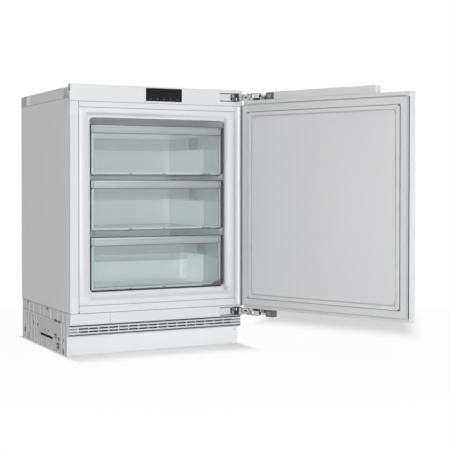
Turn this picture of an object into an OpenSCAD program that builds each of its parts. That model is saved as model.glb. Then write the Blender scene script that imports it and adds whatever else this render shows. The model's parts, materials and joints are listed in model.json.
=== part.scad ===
// Undercounter freezer with three drawers, shown with its door open.
// The origin is on the floor under the middle of the cabinet. The front faces -Y and the door hangs on +X.

/* [Cabinet] */
// Width of the cabinet and of the door
cabinet_w = 597; // [580:1:620]
// Depth of the cabinet without the door
cabinet_d = 505; // [500:1:560]
// Height from the floor to the top of the fascia
cabinet_h = 838; // [834:1:880]
// Thickness of the folded steel sheets
sheet_t = 1; // [0.8:0.1:1.2]
// Height of the base, up to the lower edge of the side panels
base_h = 134; // [132:1:138]
// Visible joint between neighbouring front pieces
seam = 0.6; // [0.4:0.1:1]
// Width of the white front trims
trim_w = 28; // [26:1:32]
// Depth of the white front trims
trim_d = 12; // [8:1:13]

/* [Fascia and top] */
// Height of the control fascia
fascia_h = 52; // [50:1:56]
// Depth of the fascia's upper and lower walls
fascia_d = 60; // [56:1:70]
// Depth of the fascia's side walls
fascia_side_d = 16; // [14:1:20]
// Wall thickness of the fascia
fascia_t = 3; // [2:0.1:3]
// Width of the display glass
display_w = 125; // [110:1:130]
// Height of the display glass
display_h = 41; // [36:1:41]
// Display glass thickness
display_t = 3; // [2:0.1:4]
// Middle of the display, to the right of the cabinet's middle
display_x = 16; // [0:1:20]
// Distance from the fascia's top down to the display
display_drop = 4; // [4:0.5:6]
// Depth of the control board's housing
control_d = 25; // [20:1:40]
// Height of the rails on the cabinet's top
rail_h = 34; // [30:1:36]
// Width of the rails on the cabinet's top
rail_w = 30; // [24:1:36]
// Distance from the fascia's top down to the rails' top
rail_drop = 8; // [6:1:8]

/* [Front frame and mouth] */
// Height of the crossbar under the fascia
upper_bar_h = 17; // [15:1:18]
// Height of the crossbar over the lower strip
lower_bar_h = 22; // [20:1:24]
// Depth of the moulded frame round the mouth
frame_d = 14; // [13:1:16]
// Distance from the cabinet's side to the mouth
mouth_in = 63.5; // [62:0.5:68]
// Height of the moulded frame under the mouth
frame_under = 44.3; // [44:0.1:46]
// Height of the moulded frame over the mouth
frame_over = 30.3; // [28:0.1:32]
// Corner radius of the mouth
mouth_r = 12; // [8:1:20]
// Width of the soft bevel round the mouth
bevel_w = 20; // [14:1:22]
// Depth of the soft bevel round the mouth
bevel_d = 5; // [3:0.5:8]

/* [Liner and shelves] */
// Wall thickness of the liner
liner_t = 2; // [1.5:0.1:3]
// Thickness of the insulated rear wall, from the liner to the cabinet's back
rear_wall = 65; // [60:1:75]
// Depth of the step over the machine space
step_d = 157; // [150:1:165]
// Height of that step over the liner's floor
step_h = 66; // [62:1:70]
// Thickness of the glass shelves
shelf_t = 4; // [3:0.5:5]
// How much the lowest bay is higher than the mean of the three bays
lower_bay_more = 6.5; // [2:0.5:8]
// How much the middle bay is lower than the mean of the three bays
middle_bay_less = 6; // [2:0.5:8]
// How far the shelf ledges stand out of the liner's walls
ledge_w = 6; // [4:0.5:8]

/* [Drawers] */
// Gap between a drawer front and the mouth's side
drawer_side_gap = 10; // [8:0.5:15]
// Distance from the cabinet's front to the drawer fronts
drawer_y = 14; // [13:1:20]
// Free height over the upper drawer
upper_drawer_room = 21; // [15:0.5:30]
// Free height over the middle drawer
middle_drawer_room = 13.5; // [10:0.5:24]
// Free height over the lower drawer
lower_drawer_room = 18; // [12:0.5:30]
// Gap behind the upper and middle drawers
drawer_back_gap = 24; // [19:1:54]
// Gap between the lower drawer and the step
lower_back_gap = 7; // [5:1:29]
// Distance from a tub's top edge down to its grip window
grip_drop = 6; // [5:0.5:8]
// Height of a tub's grip windows
grip_h = 32; // [24:1:34]
// Length of a tub's grip windows
grip_l = 74; // [60:1:80]
// Thickness of the clear plastic
drawer_t = 2; // [1.5:0.1:3]
// Height of the handle strip
strip_h = 27; // [22:1:30]
// Depth of the handle strip
strip_d = 14; // [10:1:18]
// Clearance under a drawer
drawer_gap = 0.5; // [0.4:0.1:1]

/* [Door] */
// How far the door's lower edge hangs below the side panels
door_low = 8; // [7:0.5:9]
// Distance from the fascia's top down to the door's upper edge
door_drop = 35; // [35:0.5:38]
// Depth of the outer skin
skin_d = 27; // [24:1:30]
// Distance from the skin's lower edge up to the inner panel's
panel_low = 9.5; // [9:0.5:11]
// Distance from the skin's upper edge down to the inner panel's
panel_drop = 13.5; // [13:0.5:18]
// Height of the inner panel's raised middle
plateau_h = 3; // [2:0.5:4]
// Corner radius of the inner panel's raised middle
plateau_r = 16; // [10:1:20]
// Depth of the inner panel
inner_d = 16; // [14:1:20]
// Space between the closed door's inner face and the cabinet
door_gap = 8; // [7:0.5:10]
// Distance from the door's edge to the gasket
gasket_in = 26; // [24:1:27]
// Width of the gasket
gasket_w = 11; // [9:1:12]
// Distance from the door's side to the mounting rail
top_rail_in = 115; // [114:1:125]
// Distance from the mounting rail's end to its hole
rail_hole_in = 43.5; // [35:0.5:55]
// Depth of the mounting rail
top_rail_d = 30; // [24:1:31]
// Height of the mounting rail
top_rail_h = 24; // [20:1:26]
// Radius of the two holes in the mounting rail
rail_hole_r = 3.2; // [2.7:0.1:4.2]

/* [Hinges] */
// Height of each hinge
hinge_h = 24; // [24:0.5:25]
// Width of the hinge's slot, from the cabinet's side
slot_w = 82.5; // [81:0.5:85]
// Thickness of the hinge's plates
plate_t = 2.2; // [1.8:0.1:2.2]
// Main link's pivot, in from the cabinet's right side
main_pivot_in = 24.5; // [24:0.1:25]
// Main link's pivot, behind the cabinet's front
main_pivot_y = 20; // [19.5:0.1:20.5]
// Length of the main link
main_link_l = 58; // [57.5:0.1:58.5]
// Direction of the main link with the door closed
main_closed_angle = -74.9; // [-75.2:0.1:-74.6]
// Swing of the main link
main_swing = 30.4; // [30:0.1:31]
// Guide link's pivot, in from the cabinet's right side
guide_pivot_in = 10.5; // [10.3:0.1:10.8]
// Guide link's pivot, behind the cabinet's front
guide_pivot_y = 4.3; // [4:0.1:4.6]
// Length of the guide link
guide_link_l = 50.1; // [49.9:0.1:50.3]
// Direction of the guide link with the door closed
guide_closed_angle = -102.2; // [-103:0.1:-101]
// Swing of the guide link
guide_swing = 63.1; // [62.5:0.1:63.5]
// Angle through which the door opens
door_open_angle = 115; // [114:0.5:116]
// Radius of the pivot pins
pin_r = 2.5; // [2:0.1:2.6]
// Running clearance of the pins, on the radius
pin_gap = 0.05; // [0.03:0.01:0.08]
// Radius of the guide link's door pin
guide_pin_r = 2; // [1.6:0.1:2.1]
// Play of the guide link on its door pin, on the radius
guide_play = 1.7; // [1.6:0.1:1.8]

/* [Base] */
// Distance from the front back to the base tray and the plinth panel's rear face
base_y = 36; // [34:1:40]
// Thickness of the tray's walls
tray_t = 2.5; // [2:0.1:3]
// Wall of the front strip under the lower hinge's slot
strip_under = 1.4; // [1:0.1:2.4]
// Length of the strip's left cover
strip_cover_l = 130; // [110:1:140]
// Distance from the front back to the grille
grille_y = 12; // [8:1:16]
// Number of the grille's slot rows
grille_rows = 4; // [3:1:4]
// Edge under the grille's lowest row
grille_edge = 1.5; // [1:0.1:3]
// Edge over the grille's highest row
grille_top_edge = 2.2; // [1.8:0.1:3]
// Distance between the grille's slot rows
row_pitch = 9.5; // [9:0.1:9.5]
// Height of a grille slot
slot_h = 4.8; // [4:0.1:5.5]
// Bar between two grille slots
slot_bar = 2.5; // [2:0.1:6]
// Distance between the starts of two slots
slot_pitch = 33.5; // [33:0.5:36]
// Lower edge of the plinth panel over the floor
plinth_z = 4; // [3:0.5:6]
// Thickness of the plinth panel
plinth_t = 3; // [2.5:0.1:4]
// Distance from the plinth panel's top down to its screws
screw_drop = 13.4; // [9:0.1:20]
// Radius of the levelling feet
foot_r = 18; // [14:1:19]
// Radius of the feet's threaded stems
stem_r = 5; // [4:0.5:6]
// Height of the foot brackets' underside over the floor
bracket_z = 60; // [58:1:64]
// What stays of a stem over its bracket with the foot screwed out
stem_spare = 12.4; // [8:0.1:16]
// How far a foot screws out
foot_travel = 42; // [30:1:45]
// Feet, in from the cabinet's sides
foot_in = 33; // [31:1:36]
// Front feet, behind the cabinet's front
front_foot_y = 64; // [62:1:70]
// Rear feet, in front of the cabinet's back
rear_foot_in = 36; // [35:1:40]

/* [Machine space] */
// Thickness of the insulation in front of the machine space
step_wall = 52; // [48:1:58]
// Distance from the side panels' lower edge down to the power inlet
inlet_drop = 34; // [30:1:40]
// Free height over the melt water tray
niche_clear = 6.5; // [5:0.5:9]
// Height of the melt water tray
melt_h = 20; // [16:1:22]
// Radius of the compressor's shell
compressor_r = 74; // [66:1:76]
// Height of the compressor's shell
compressor_h = 152; // [140:1:153]
// Length of the compressor's rubber mounts
mount_h = 12; // [10:1:12]
// Middle of the compressor, to the right of the cabinet's middle
compressor_x = 120; // [110:1:125]
// Free height over the square fan shroud
fan_over = 13.5; // [11:0.5:20]
// Depth of the fan shroud
fan_d = 25; // [22:1:30]
// Number of fan blades
fan_blades = 7; // [5:1:9]
// Length of the condenser's tubes
condenser_l = 170; // [150:1:180]
// Number of condenser tubes in a layer
condenser_rows = 8; // [6:1:8]
// Distance between two condenser tubes
tube_pitch = 24; // [20:1:25]
// Number of condenser fins
condenser_fins = 25; // [15:1:25]
// Gap between moving pieces and those beside them
clear_gap = 0.4; // [0.3:0.05:0.6]

/* [Hidden] */
$fn = 64;
half_w = cabinet_w / 2;
fascia_z = cabinet_h - fascia_h;
rail_top = cabinet_h - rail_drop;
side_top = rail_top - rail_h;
frame_z0 = base_h + seam + lower_bar_h + seam;
frame_z1 = fascia_z - seam - upper_bar_h - seam;
frame_half = half_w - trim_w - seam;
mouth_w = cabinet_w - 2 * mouth_in;
mouth_z = frame_z0 + frame_under;
mouth_top = frame_z1 - frame_over;
mouth_h = mouth_top - mouth_z;
liner_back = cabinet_d - rear_wall;
step_y = liner_back - step_d;
bay_h = (mouth_h - 2 * shelf_t) / 3;
lower_shelf_z = mouth_z + bay_h + lower_bay_more;
upper_shelf_z = lower_shelf_z + shelf_t + bay_h - middle_bay_less;
liner_half = mouth_w / 2 + liner_t;
step_top = mouth_z + step_h;
gasket_t = door_gap - clear_gap;
lower_z = mouth_z + drawer_gap;
middle_z = lower_shelf_z + shelf_t + drawer_gap;
upper_z = upper_shelf_z + shelf_t + drawer_gap;
drawer_w = mouth_w - 2 * drawer_side_gap;
upper_drawer_h = mouth_top - upper_drawer_room - upper_z;
middle_drawer_h = upper_shelf_z - middle_drawer_room - middle_z;
lower_drawer_h = lower_shelf_z - lower_drawer_room - lower_z;
drawer_d = liner_back - liner_t - drawer_back_gap - drawer_y;
lower_drawer_d = step_y - lower_back_gap - drawer_y;
door_in = -door_gap;
door_mid = door_in - inner_d;
door_out = door_mid - skin_d;
skin_z = base_h - door_low;
skin_top = cabinet_h - door_drop;
inner_z = skin_z + panel_low;
inner_h = skin_top - panel_drop - inner_z;
top_rail_l = cabinet_w - 2 * top_rail_in;
main_pivot = [half_w - main_pivot_in, main_pivot_y];
guide_pivot = [half_w - guide_pivot_in, guide_pivot_y];
main_closed = main_pivot + main_link_l * [cos(main_closed_angle), sin(main_closed_angle)];
main_open_angle = main_closed_angle + main_swing;
main_open = main_pivot + main_link_l * [cos(main_open_angle), sin(main_open_angle)];
guide_open_angle = guide_closed_angle + guide_swing;
guide_closed = guide_pivot + guide_link_l * [cos(guide_closed_angle), sin(guide_closed_angle)]
    + [0.15, 0.7];
link_h = (hinge_h - 2 * plate_t - 4 * clear_gap) / 2;
link_r = 8;
guide_r = 6.5;
slot_in = 3;
slot_out = 1.2;
strip_z = skin_z - hinge_h - slot_out - strip_under;
grille_h = grille_top_edge + (grille_rows - 1) * row_pitch + slot_h + grille_edge;
grille_z = strip_z - grille_h;
slot_l = slot_pitch - slot_bar;
compressor_y = cabinet_d - 5 - tray_t - compressor_r - 3;
tray_half = half_w - 1.5;
tray_back = cabinet_d - 5;
foot_x = half_w - foot_in;
rear_foot_y = cabinet_d - rear_foot_in;
pad_t = 8;
pad_lift = 0.4;
bracket_t = 4;
stem_l = bracket_z + bracket_t - pad_lift - pad_t + foot_travel + stem_spare;
fan_size = base_h - tray_t - fan_over;
shell_z = tray_t + mount_h + 3;
niche_y = step_y + step_wall;
niche_h = shell_z + compressor_h + melt_h + niche_clear;
pipe_x = foot_r - 2.5 - foot_x;
condenser_x = pipe_x + 24;
fan_x = condenser_x + condenser_l + 20;
fan_y = 215;
fan_z = tray_t + fan_size / 2;
condenser_y = 110;
side_inset = 9;
eps = 0.5;

// Everything is drawn from the cabinet's front, at Y = 0, and moved to the frame's origin here
module placed() translate([0, -cabinet_d / 2, 0]) children();

// Box from its lowest and highest corners
module block(low, high) translate(low) cube(high - low);

// Both sides, left and right
module both_sides() for (side = [0, 1]) mirror([side, 0, 0]) children();

// Prism along Y with rounded edges, from its width, lowest and highest Z, and its two ends
module rounded_prism(w, z0, z1, y0, y1, r) translate([0, y1, 0]) rotate([90, 0, 0])
    linear_extrude(y1 - y0) rounded_outline(w, z0, z1, r);

module rounded_outline(w, z0, z1, r) {
    translate([-w / 2 + r, z0]) square([w - 2 * r, z1 - z0]);
    translate([-w / 2, z0 + r]) square([w, z1 - z0 - 2 * r]);
    for (x = [-w / 2 + r, w / 2 - r], z = [z0 + r, z1 - r]) translate([x, z]) circle(r);
}

// Profile in Y and Z, drawn out along X over the width w
module profile_x(w, points) translate([-w / 2, 0, 0]) rotate([90, 0, 90])
    linear_extrude(w) polygon(points);

// Straight bar with round ends between two points in a plan view
module bar(a, b, r_a, r_b, w, z0, h) {
    span = norm(b - a);
    turn = atan2(b[1] - a[1], b[0] - a[0]);
    translate([a[0], a[1], z0]) rotate(turn) translate([0, -w / 2, 0]) cube([span, w, h]);
    translate([a[0], a[1], z0]) cylinder(r = r_a, h = h);
    translate([b[0], b[1], z0]) cylinder(r = r_b, h = h);
}

// The closed door's pieces, carried to the open pose about the main link's door pin
module opened() translate([main_open[0], main_open[1], 0]) rotate(door_open_angle)
    translate([-main_closed[0], -main_closed[1], 0]) children();

// A hinge's pieces at the door's top edge, with Z = 0 on the skin's edge
module upper_hinge() translate([0, 0, skin_top]) children();

// The same pieces turned over, at the door's lower edge
module lower_hinge() translate([0, 0, skin_z]) mirror([0, 0, 1]) children();

// Cabinet skin

module side_panel() color("gainsboro") difference() {
    block([-half_w, trim_d, base_h], [-half_w + sheet_t, cabinet_d - sheet_t, side_top]);
    block([-half_w - eps, trim_d - eps, fascia_z - seam],
        [-half_w + sheet_t + eps, fascia_side_d + seam, side_top + eps]);
}

module left_side_panel() placed() side_panel();

module right_side_panel() placed() mirror([1, 0, 0]) side_panel();

module back_panel() color("silver") placed() difference() {
    block([-half_w, cabinet_d - sheet_t, niche_h], [half_w, cabinet_d, side_top]);
    for (x = [-200:100:200])
        block([x - 30, cabinet_d - sheet_t / 2, niche_h + 60],
            [x + 30, cabinet_d + eps, side_top - 60]);
}

module top_panel() color("gainsboro") placed()
    block([-half_w + sheet_t, fascia_d + seam, side_top - sheet_t],
        [half_w - sheet_t, cabinet_d - sheet_t, side_top]);

module machine_floor() color("silver") placed() profile_x(cabinet_w - 2 * sheet_t, [
    [frame_d, base_h], [niche_y + sheet_t, base_h], [niche_y + sheet_t, niche_h - sheet_t],
    [cabinet_d - sheet_t, niche_h - sheet_t], [cabinet_d - sheet_t, niche_h],
    [niche_y, niche_h], [niche_y, base_h + sheet_t], [frame_d, base_h + sheet_t]]);

module cabinet_foam() color("khaki") placed() difference() {
    profile_x(cabinet_w - 2 * sheet_t, [
        [frame_d, base_h + sheet_t], [niche_y, base_h + sheet_t], [niche_y, niche_h],
        [cabinet_d - sheet_t, niche_h], [cabinet_d - sheet_t, side_top - sheet_t],
        [fascia_d + seam, side_top - sheet_t], [fascia_d + seam, fascia_z - seam],
        [frame_d, fascia_z - seam]]);
    difference() {
        rounded_prism(2 * liner_half, mouth_z - liner_t, mouth_top + liner_t,
            frame_d - eps, liner_back, mouth_r + liner_t);
        step_space(0);
    }
    evaporator_shape();
}

// Space under the liner's step, which the insulation fills
module step_space(more) block([-liner_half - eps, step_y + liner_t, mouth_z - liner_t - eps],
    [liner_half + eps, liner_back + more, step_top - liner_t]);

module front_trims() color("white") placed() both_sides() difference() {
    block([-half_w, 0, base_h + seam], [-half_w + trim_w, trim_d, fascia_z - seam]);
    block([-half_w + 8, 2, base_h], [-half_w + trim_w - 3, trim_d + eps, fascia_z]);
}

module front_frame() color("white") placed() difference() {
    block([-frame_half, 0, frame_z0], [frame_half, frame_d, frame_z1]);
    rounded_prism(mouth_w, mouth_z, mouth_top, -eps, frame_d + eps, mouth_r);
    hull() {
        rounded_prism(mouth_w + 2 * bevel_w, mouth_z - bevel_w, mouth_top + bevel_w,
            -eps, 0.01, mouth_r + bevel_w / 2, $fn = 32);
        rounded_prism(mouth_w + 1, mouth_z - 0.5, mouth_top + 0.5,
            bevel_d - 0.01, bevel_d, mouth_r + 0.5, $fn = 32);
    }
}

module crossbars() color("white") placed() {
    block([-frame_half, 0, base_h + seam], [frame_half, frame_d, base_h + seam + lower_bar_h]);
    block([-frame_half, 0, fascia_z - seam - upper_bar_h], [frame_half, frame_d, fascia_z - seam]);
}

// Inside

module inner_liner() color("white") placed() {
    difference() {
        union() {
            difference() {
                rounded_prism(2 * liner_half, mouth_z - liner_t, mouth_top + liner_t,
                    frame_d, liner_back, mouth_r + liner_t);
                rounded_prism(mouth_w, mouth_z, mouth_top, frame_d - eps,
                    liner_back - liner_t, mouth_r);
            }
            intersection() {
                block([-mouth_w / 2 - liner_t / 2, step_y, mouth_z - liner_t],
                    [mouth_w / 2 + liner_t / 2, liner_back - liner_t / 2, step_top]);
                rounded_prism(2 * liner_half, mouth_z - liner_t, mouth_top + liner_t,
                    step_y, liner_back - liner_t / 2, mouth_r + liner_t);
            }
        }
        step_space(eps);
    }
    both_sides() for (z = [lower_shelf_z, upper_shelf_z])
        block([-mouth_w / 2 - liner_t / 2, frame_d + 14, z - 4],
            [-mouth_w / 2 + ledge_w, liner_back - liner_t / 2, z]);
}

evaporator_t = 1.5;
evaporator_z0 = step_top + 25;
evaporator_z1 = mouth_top - 25;

module evaporator_shape() {
    both_sides() block([-liner_half - evaporator_t, 110, evaporator_z0],
        [-liner_half, liner_back + evaporator_t, evaporator_z1]);
    block([-liner_half - evaporator_t, liner_back, evaporator_z0],
        [liner_half + evaporator_t, liner_back + evaporator_t, evaporator_z1]);
    for (z = [evaporator_z0 + 20:45:evaporator_z1 - 20])
        block([-liner_half + 10, liner_back + evaporator_t, z],
            [liner_half - 10, liner_back + 2 * evaporator_t, z + 8]);
}

module evaporator() color("lightsteelblue") placed() evaporator_shape();

module glass_shelves() color("lightcyan") placed() for (z = [lower_shelf_z, upper_shelf_z])
    block([-mouth_w / 2 + 1, frame_d + 18, z], [mouth_w / 2 - 1, liner_back - liner_t - 6, z + shelf_t]);

// Fascia

hinge_slot_x = half_w - slot_w;
slot_d = main_pivot_y + 24;

module hinge_slot(z0, z1, more = 0) block([hinge_slot_x - more, -eps, z0 - more],
    [half_w + eps, slot_d + more, z1 + more]);

upper_slot_z0 = skin_top - slot_in;
upper_slot_z1 = skin_top + hinge_h + slot_out;
display_z = cabinet_h - display_drop - display_h;

module control_fascia() color("white") placed() difference() {
    union() {
        difference() {
            block([-half_w, 0, fascia_z], [half_w, fascia_d, cabinet_h]);
            block([-half_w + fascia_t, fascia_t, fascia_z + fascia_t],
                [half_w - fascia_t, fascia_d + eps, cabinet_h - fascia_t]);
            both_sides() block([-half_w - eps, fascia_side_d, fascia_z - eps],
                [-half_w + rail_w, fascia_d + eps, cabinet_h + eps]);
        }
        block([hinge_slot_x - 2, 1, upper_slot_z0 - 2],
            [half_w - 0.5, slot_d, upper_slot_z1 + 2]);
    }
    hinge_slot(upper_slot_z0, upper_slot_z1);
    block([display_x - display_w / 2 - seam / 2, -eps, display_z - seam / 2],
        [display_x + display_w / 2 + seam / 2, fascia_t + eps, display_z + display_h + seam / 2]);
    block([-half_w - eps, clip_y, clip_z], [-half_w + fascia_t + eps, clip_y + 10, clip_z + 15]);
}

clip_y = 4;
clip_z = cabinet_h - 21;

module fascia_clip() color("dimgray") placed() {
    block([-half_w + 1, clip_y + 0.3, clip_z + 0.3], [-half_w + fascia_t, clip_y + 9.7, clip_z + 14.7]);
    block([-half_w + fascia_t, fascia_t, clip_z - 12],
        [-half_w + fascia_t + 3, clip_y + 12, clip_z + 17.5]);
}

module display_panel() color([0.06, 0.06, 0.07]) placed()
    block([display_x - display_w / 2, 0.2, display_z],
        [display_x + display_w / 2, display_t + 0.2, display_z + display_h]);

module control_board() color("darkgreen") placed() {
    block([display_x - display_w / 2 - 8, display_t + 0.2, fascia_z + fascia_t],
        [display_x + display_w / 2 + 8, display_t + control_d, cabinet_h - fascia_t - 1]);
    for (x = [-50:25:50]) translate([display_x + x, display_t + control_d, fascia_z + 24])
        rotate([-90, 0, 0]) cylinder(r = 5, h = 10);
}

module top_rails() color("whitesmoke") placed() {
    both_sides() {
        difference() {
            block([-half_w, fascia_d + 4, side_top], [-half_w + rail_w, cabinet_d, rail_top]);
            block([-half_w + 1.5, fascia_d + 5.5, side_top + 1.5],
                [-half_w + rail_w + eps, cabinet_d - 1.5, rail_top - 1.5]);
            for (y = [110:70:cabinet_d - 130])
                block([-half_w + 10, y, rail_top - 2], [-half_w + 18, y + 30, rail_top + eps]);
            block([-half_w - eps, cabinet_d - 96, side_top + 3],
                [-half_w + 1.5 + eps, cabinet_d - 6, rail_top - 3]);
        }
    }
    difference() {
        block([-half_w + rail_w, cabinet_d - 40, side_top], [half_w - rail_w, cabinet_d, rail_top]);
        block([-half_w + rail_w - eps, cabinet_d - 38.5, side_top + 1.5],
            [half_w - rail_w + eps, cabinet_d - 1.5, rail_top + eps]);
    }
}

module rail_end_blocks() color("lightgray") placed() {
    both_sides() block([-half_w + 0.4, cabinet_d - 92, side_top + 3.4],
        [-half_w + 14, cabinet_d - 6.4, rail_top - 3.4]);
    difference() {
        both_sides() block([-half_w + 0.6, slot_d + 1, side_top],
            [-half_w + 16, fascia_d + 3.6, rail_top - 1]);
        block([-half_w, slot_d + 4, side_top + 6], [-half_w + 3, slot_d + 14, rail_top]);
    }
    difference() {
        block([-half_w + 0.6, fascia_side_d + 1, side_top],
            [-half_w + 16, slot_d + 1, rail_top - 1]);
        for (y = [fascia_side_d + 6, fascia_side_d + 17])
            block([-half_w, y, side_top + 6], [-half_w + 3, y + 7, rail_top]);
    }
}

// Hinges

layer_low = plate_t + clear_gap;
layer_high = layer_low + link_h + 2 * clear_gap;

module cabinet_bracket() color("silver") {
    plate_x = main_pivot[0] - 14;
    for (z = [0, hinge_h - plate_t]) difference() {
        union() {
            block([plate_x, main_pivot_y - 8, z], [half_w - 0.6, slot_d - 0.5, z + plate_t]);
            block([guide_pivot[0] - 7, 0.5, z], [half_w - 0.6, main_pivot_y, z + plate_t]);
        }
    }
    block([hinge_slot_x + 0.5, slot_d - 4, 0], [half_w - 0.6, slot_d - 0.5, hinge_h]);
    translate([main_pivot[0], main_pivot[1], plate_t - eps])
        cylinder(r = pin_r, h = hinge_h - 2 * plate_t + 2 * eps);
    translate([guide_pivot[0], guide_pivot[1], plate_t - eps])
        cylinder(r = pin_r, h = link_h + clear_gap + eps);
    block([hinge_slot_x + 6, slot_d - 4, -slot_in], [hinge_slot_x + 16, slot_d - 0.5, 0]);
    block([hinge_slot_x + 6, slot_d - 4, hinge_h], [hinge_slot_x + 16, slot_d - 0.5, hinge_h + slot_out]);
}

module upper_hinge_bracket() placed() upper_hinge() cabinet_bracket();

module lower_hinge_bracket() placed() lower_hinge() cabinet_bracket();

module slot_cover() {
    block([hinge_slot_x + 0.5, 7, 1], [main_pivot[0] - 16, 9, hinge_h - 1]);
    block([hinge_slot_x + 0.5, 9, 1], [hinge_slot_x + 3, slot_d - 4, hinge_h - 1]);
}

module hinge_slot_covers() color("white") placed() {
    upper_hinge() slot_cover();
    lower_hinge() slot_cover();
}

module main_link() difference() {
    bar(main_pivot, main_open, link_r, link_r, 11, layer_high, link_h);
    for (p = [main_pivot, main_open]) translate([p[0], p[1], layer_high - eps])
        cylinder(r = pin_r + pin_gap, h = link_h + 2 * eps);
}

module main_hinge_links() color("silver") placed() {
    upper_hinge() main_link();
    lower_hinge() main_link();
}

guide_open = guide_pivot + guide_link_l * [cos(guide_open_angle), sin(guide_open_angle)];

module guide_link() difference() {
    bar(guide_pivot, guide_open, guide_r, guide_r, 8, layer_low, link_h);
    translate([guide_pivot[0], guide_pivot[1], layer_low - eps])
        cylinder(r = pin_r + pin_gap, h = link_h + 2 * eps);
    translate([guide_open[0], guide_open[1], layer_low - eps])
        cylinder(r = guide_pin_r + guide_play, h = link_h + 2 * eps);
}

module guide_hinge_links() color("darkgray") placed() {
    upper_hinge() guide_link();
    lower_hinge() guide_link();
}

arm_x1 = guide_closed[0] - guide_r - 3;
arm_x0 = arm_x1 - 17;
joint_x0 = arm_x0 - 30;
block_x0 = joint_x0 - 31;
arm_y0 = door_out + 3;
arm_y1 = arm_y0 + 21;

module door_bracket() color("silver") {
    for (z = [0, hinge_h - plate_t]) {
        translate([main_closed[0], main_closed[1], z]) cylinder(r = link_r + 1, h = plate_t);
        translate([guide_closed[0], guide_closed[1], z]) cylinder(r = guide_r, h = plate_t);
        block([arm_x1 - 1, door_out + 1, z], [guide_closed[0], arm_y1, z + plate_t]);
        block([guide_closed[0] - 1, main_closed[1] - 8, z],
            [main_closed[0], main_closed[1] + 8.9, z + plate_t]);
    }
    translate([main_closed[0], main_closed[1], layer_high - clear_gap])
        cylinder(r = pin_r, h = link_h + 2 * clear_gap + eps);
    translate([guide_closed[0], guide_closed[1], plate_t - eps])
        cylinder(r = guide_pin_r, h = link_h + clear_gap + eps);
    block([arm_x0, arm_y0, 0], [arm_x1, arm_y1, hinge_h]);
    block([block_x0, arm_y0, 0], [arm_x0, arm_y1, plate_t]);
    block([joint_x0, arm_y0 + 4, plate_t], [arm_x0, arm_y1 - 3, hinge_h - 5]);
    difference() {
        block([block_x0, arm_y0 - 1, plate_t], [joint_x0 - 2, arm_y1, hinge_h]);
        translate([(block_x0 + joint_x0) / 2 - 1, arm_y1 + eps, hinge_h / 2 + 1])
            rotate([90, 0, 0]) cylinder(r = 3 + clear_gap, h = 12 + eps);
    }
    block([joint_x0 - 2.5, arm_y0 + 6, plate_t], [joint_x0, arm_y1 - 5, hinge_h - 8]);
}

module upper_door_bracket() placed() opened() upper_hinge() door_bracket();

module lower_door_bracket() placed() opened() lower_hinge() door_bracket();

module block_screw() translate([(block_x0 + joint_x0) / 2 - 1, arm_y1, hinge_h / 2 + 1])
    rotate([90, 0, 0]) difference() {
        union() {
            cylinder(r = 3, h = 11.5);
            translate([0, 0, -2.5]) cylinder(r = 6.5, h = 2.5);
        }
        for (turn = [0, 90]) rotate(turn) translate([-4.2, -0.7, -2.5 - eps])
            cube([8.4, 1.4, 1.5 + eps]);
    }

module hinge_block_screws() color("gray") placed() opened() {
    upper_hinge() block_screw();
    lower_hinge() block_screw();
}

// Door

module door_outer_skin() color("gainsboro") placed() opened() difference() {
    block([-half_w, door_out, skin_z], [half_w, door_mid, skin_top]);
    block([-half_w + sheet_t, door_out + sheet_t, skin_z + sheet_t],
        [half_w - sheet_t, door_mid - 1.6, skin_top - sheet_t]);
    block([-half_w + 20, door_mid - 1.6 - eps, skin_z + 24],
        [half_w - 20, door_mid + eps, skin_top - 28]);
    for (x = [-176, 128], k = [-1.5:1:1.5])
        block([x + k * 20 - 7, door_mid - 1.6, skin_z - eps],
            [x + k * 20 + 7, door_mid + eps, skin_z + 2.6]);
}

module gasket_ring(w, z0, z1, y0, y1) difference() {
    block([-w / 2, y0, z0], [w / 2, y1, z1]);
    block([-w / 2 + gasket_w, y0 - eps, z0 + gasket_w], [w / 2 - gasket_w, y1 + eps, z1 - gasket_w]);
}

// The panel's hollow, which the door's insulation fills
module panel_hollow(y0) block([-half_w + side_inset + 2, y0, inner_z + 2],
    [half_w - side_inset - 2, door_in - 4, inner_z + inner_h - 2]);

module door_inner_panel() color("gainsboro") placed() opened() difference() {
    plateau = gasket_in + gasket_w + 3;
    union() {
        block([-half_w, door_in - 3, inner_z], [half_w, door_in, inner_z + inner_h]);
        block([-half_w + side_inset, door_mid, inner_z],
            [half_w - side_inset, door_in - 3, inner_z + inner_h]);
        rounded_prism(cabinet_w - 2 * plateau, inner_z + plateau, inner_z + inner_h - plateau,
            door_in - 3, door_in + plateau_h, plateau_r);
    }
    panel_hollow(door_mid - eps);
    gasket_ring(cabinet_w - 2 * gasket_in, inner_z + gasket_in, inner_z + inner_h - gasket_in,
        door_in - 2, door_in + eps);
}

module door_gasket() color("white") placed() opened() difference() {
    gasket_ring(cabinet_w - 2 * gasket_in, inner_z + gasket_in, inner_z + inner_h - gasket_in,
        door_in - 2, door_in + gasket_t);
    difference() {
        gasket_ring(cabinet_w - 2 * gasket_in + 2, inner_z + gasket_in - 1,
            inner_z + inner_h - gasket_in + 1, door_in + 1, door_in + 3.5);
        gasket_ring(cabinet_w - 2 * gasket_in - 5, inner_z + gasket_in + 2.5,
            inner_z + inner_h - gasket_in - 2.5, door_in, door_in + 5);
    }
}

module door_foam() color("khaki") placed() opened() {
    block([-half_w + sheet_t, door_out + sheet_t, skin_z + sheet_t],
        [half_w - sheet_t, door_mid - 1.6, skin_top - sheet_t]);
    block([-half_w + 20, door_mid - 1.6, skin_z + 24], [half_w - 20, door_mid, skin_top - 28]);
    panel_hollow(door_mid);
}

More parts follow.
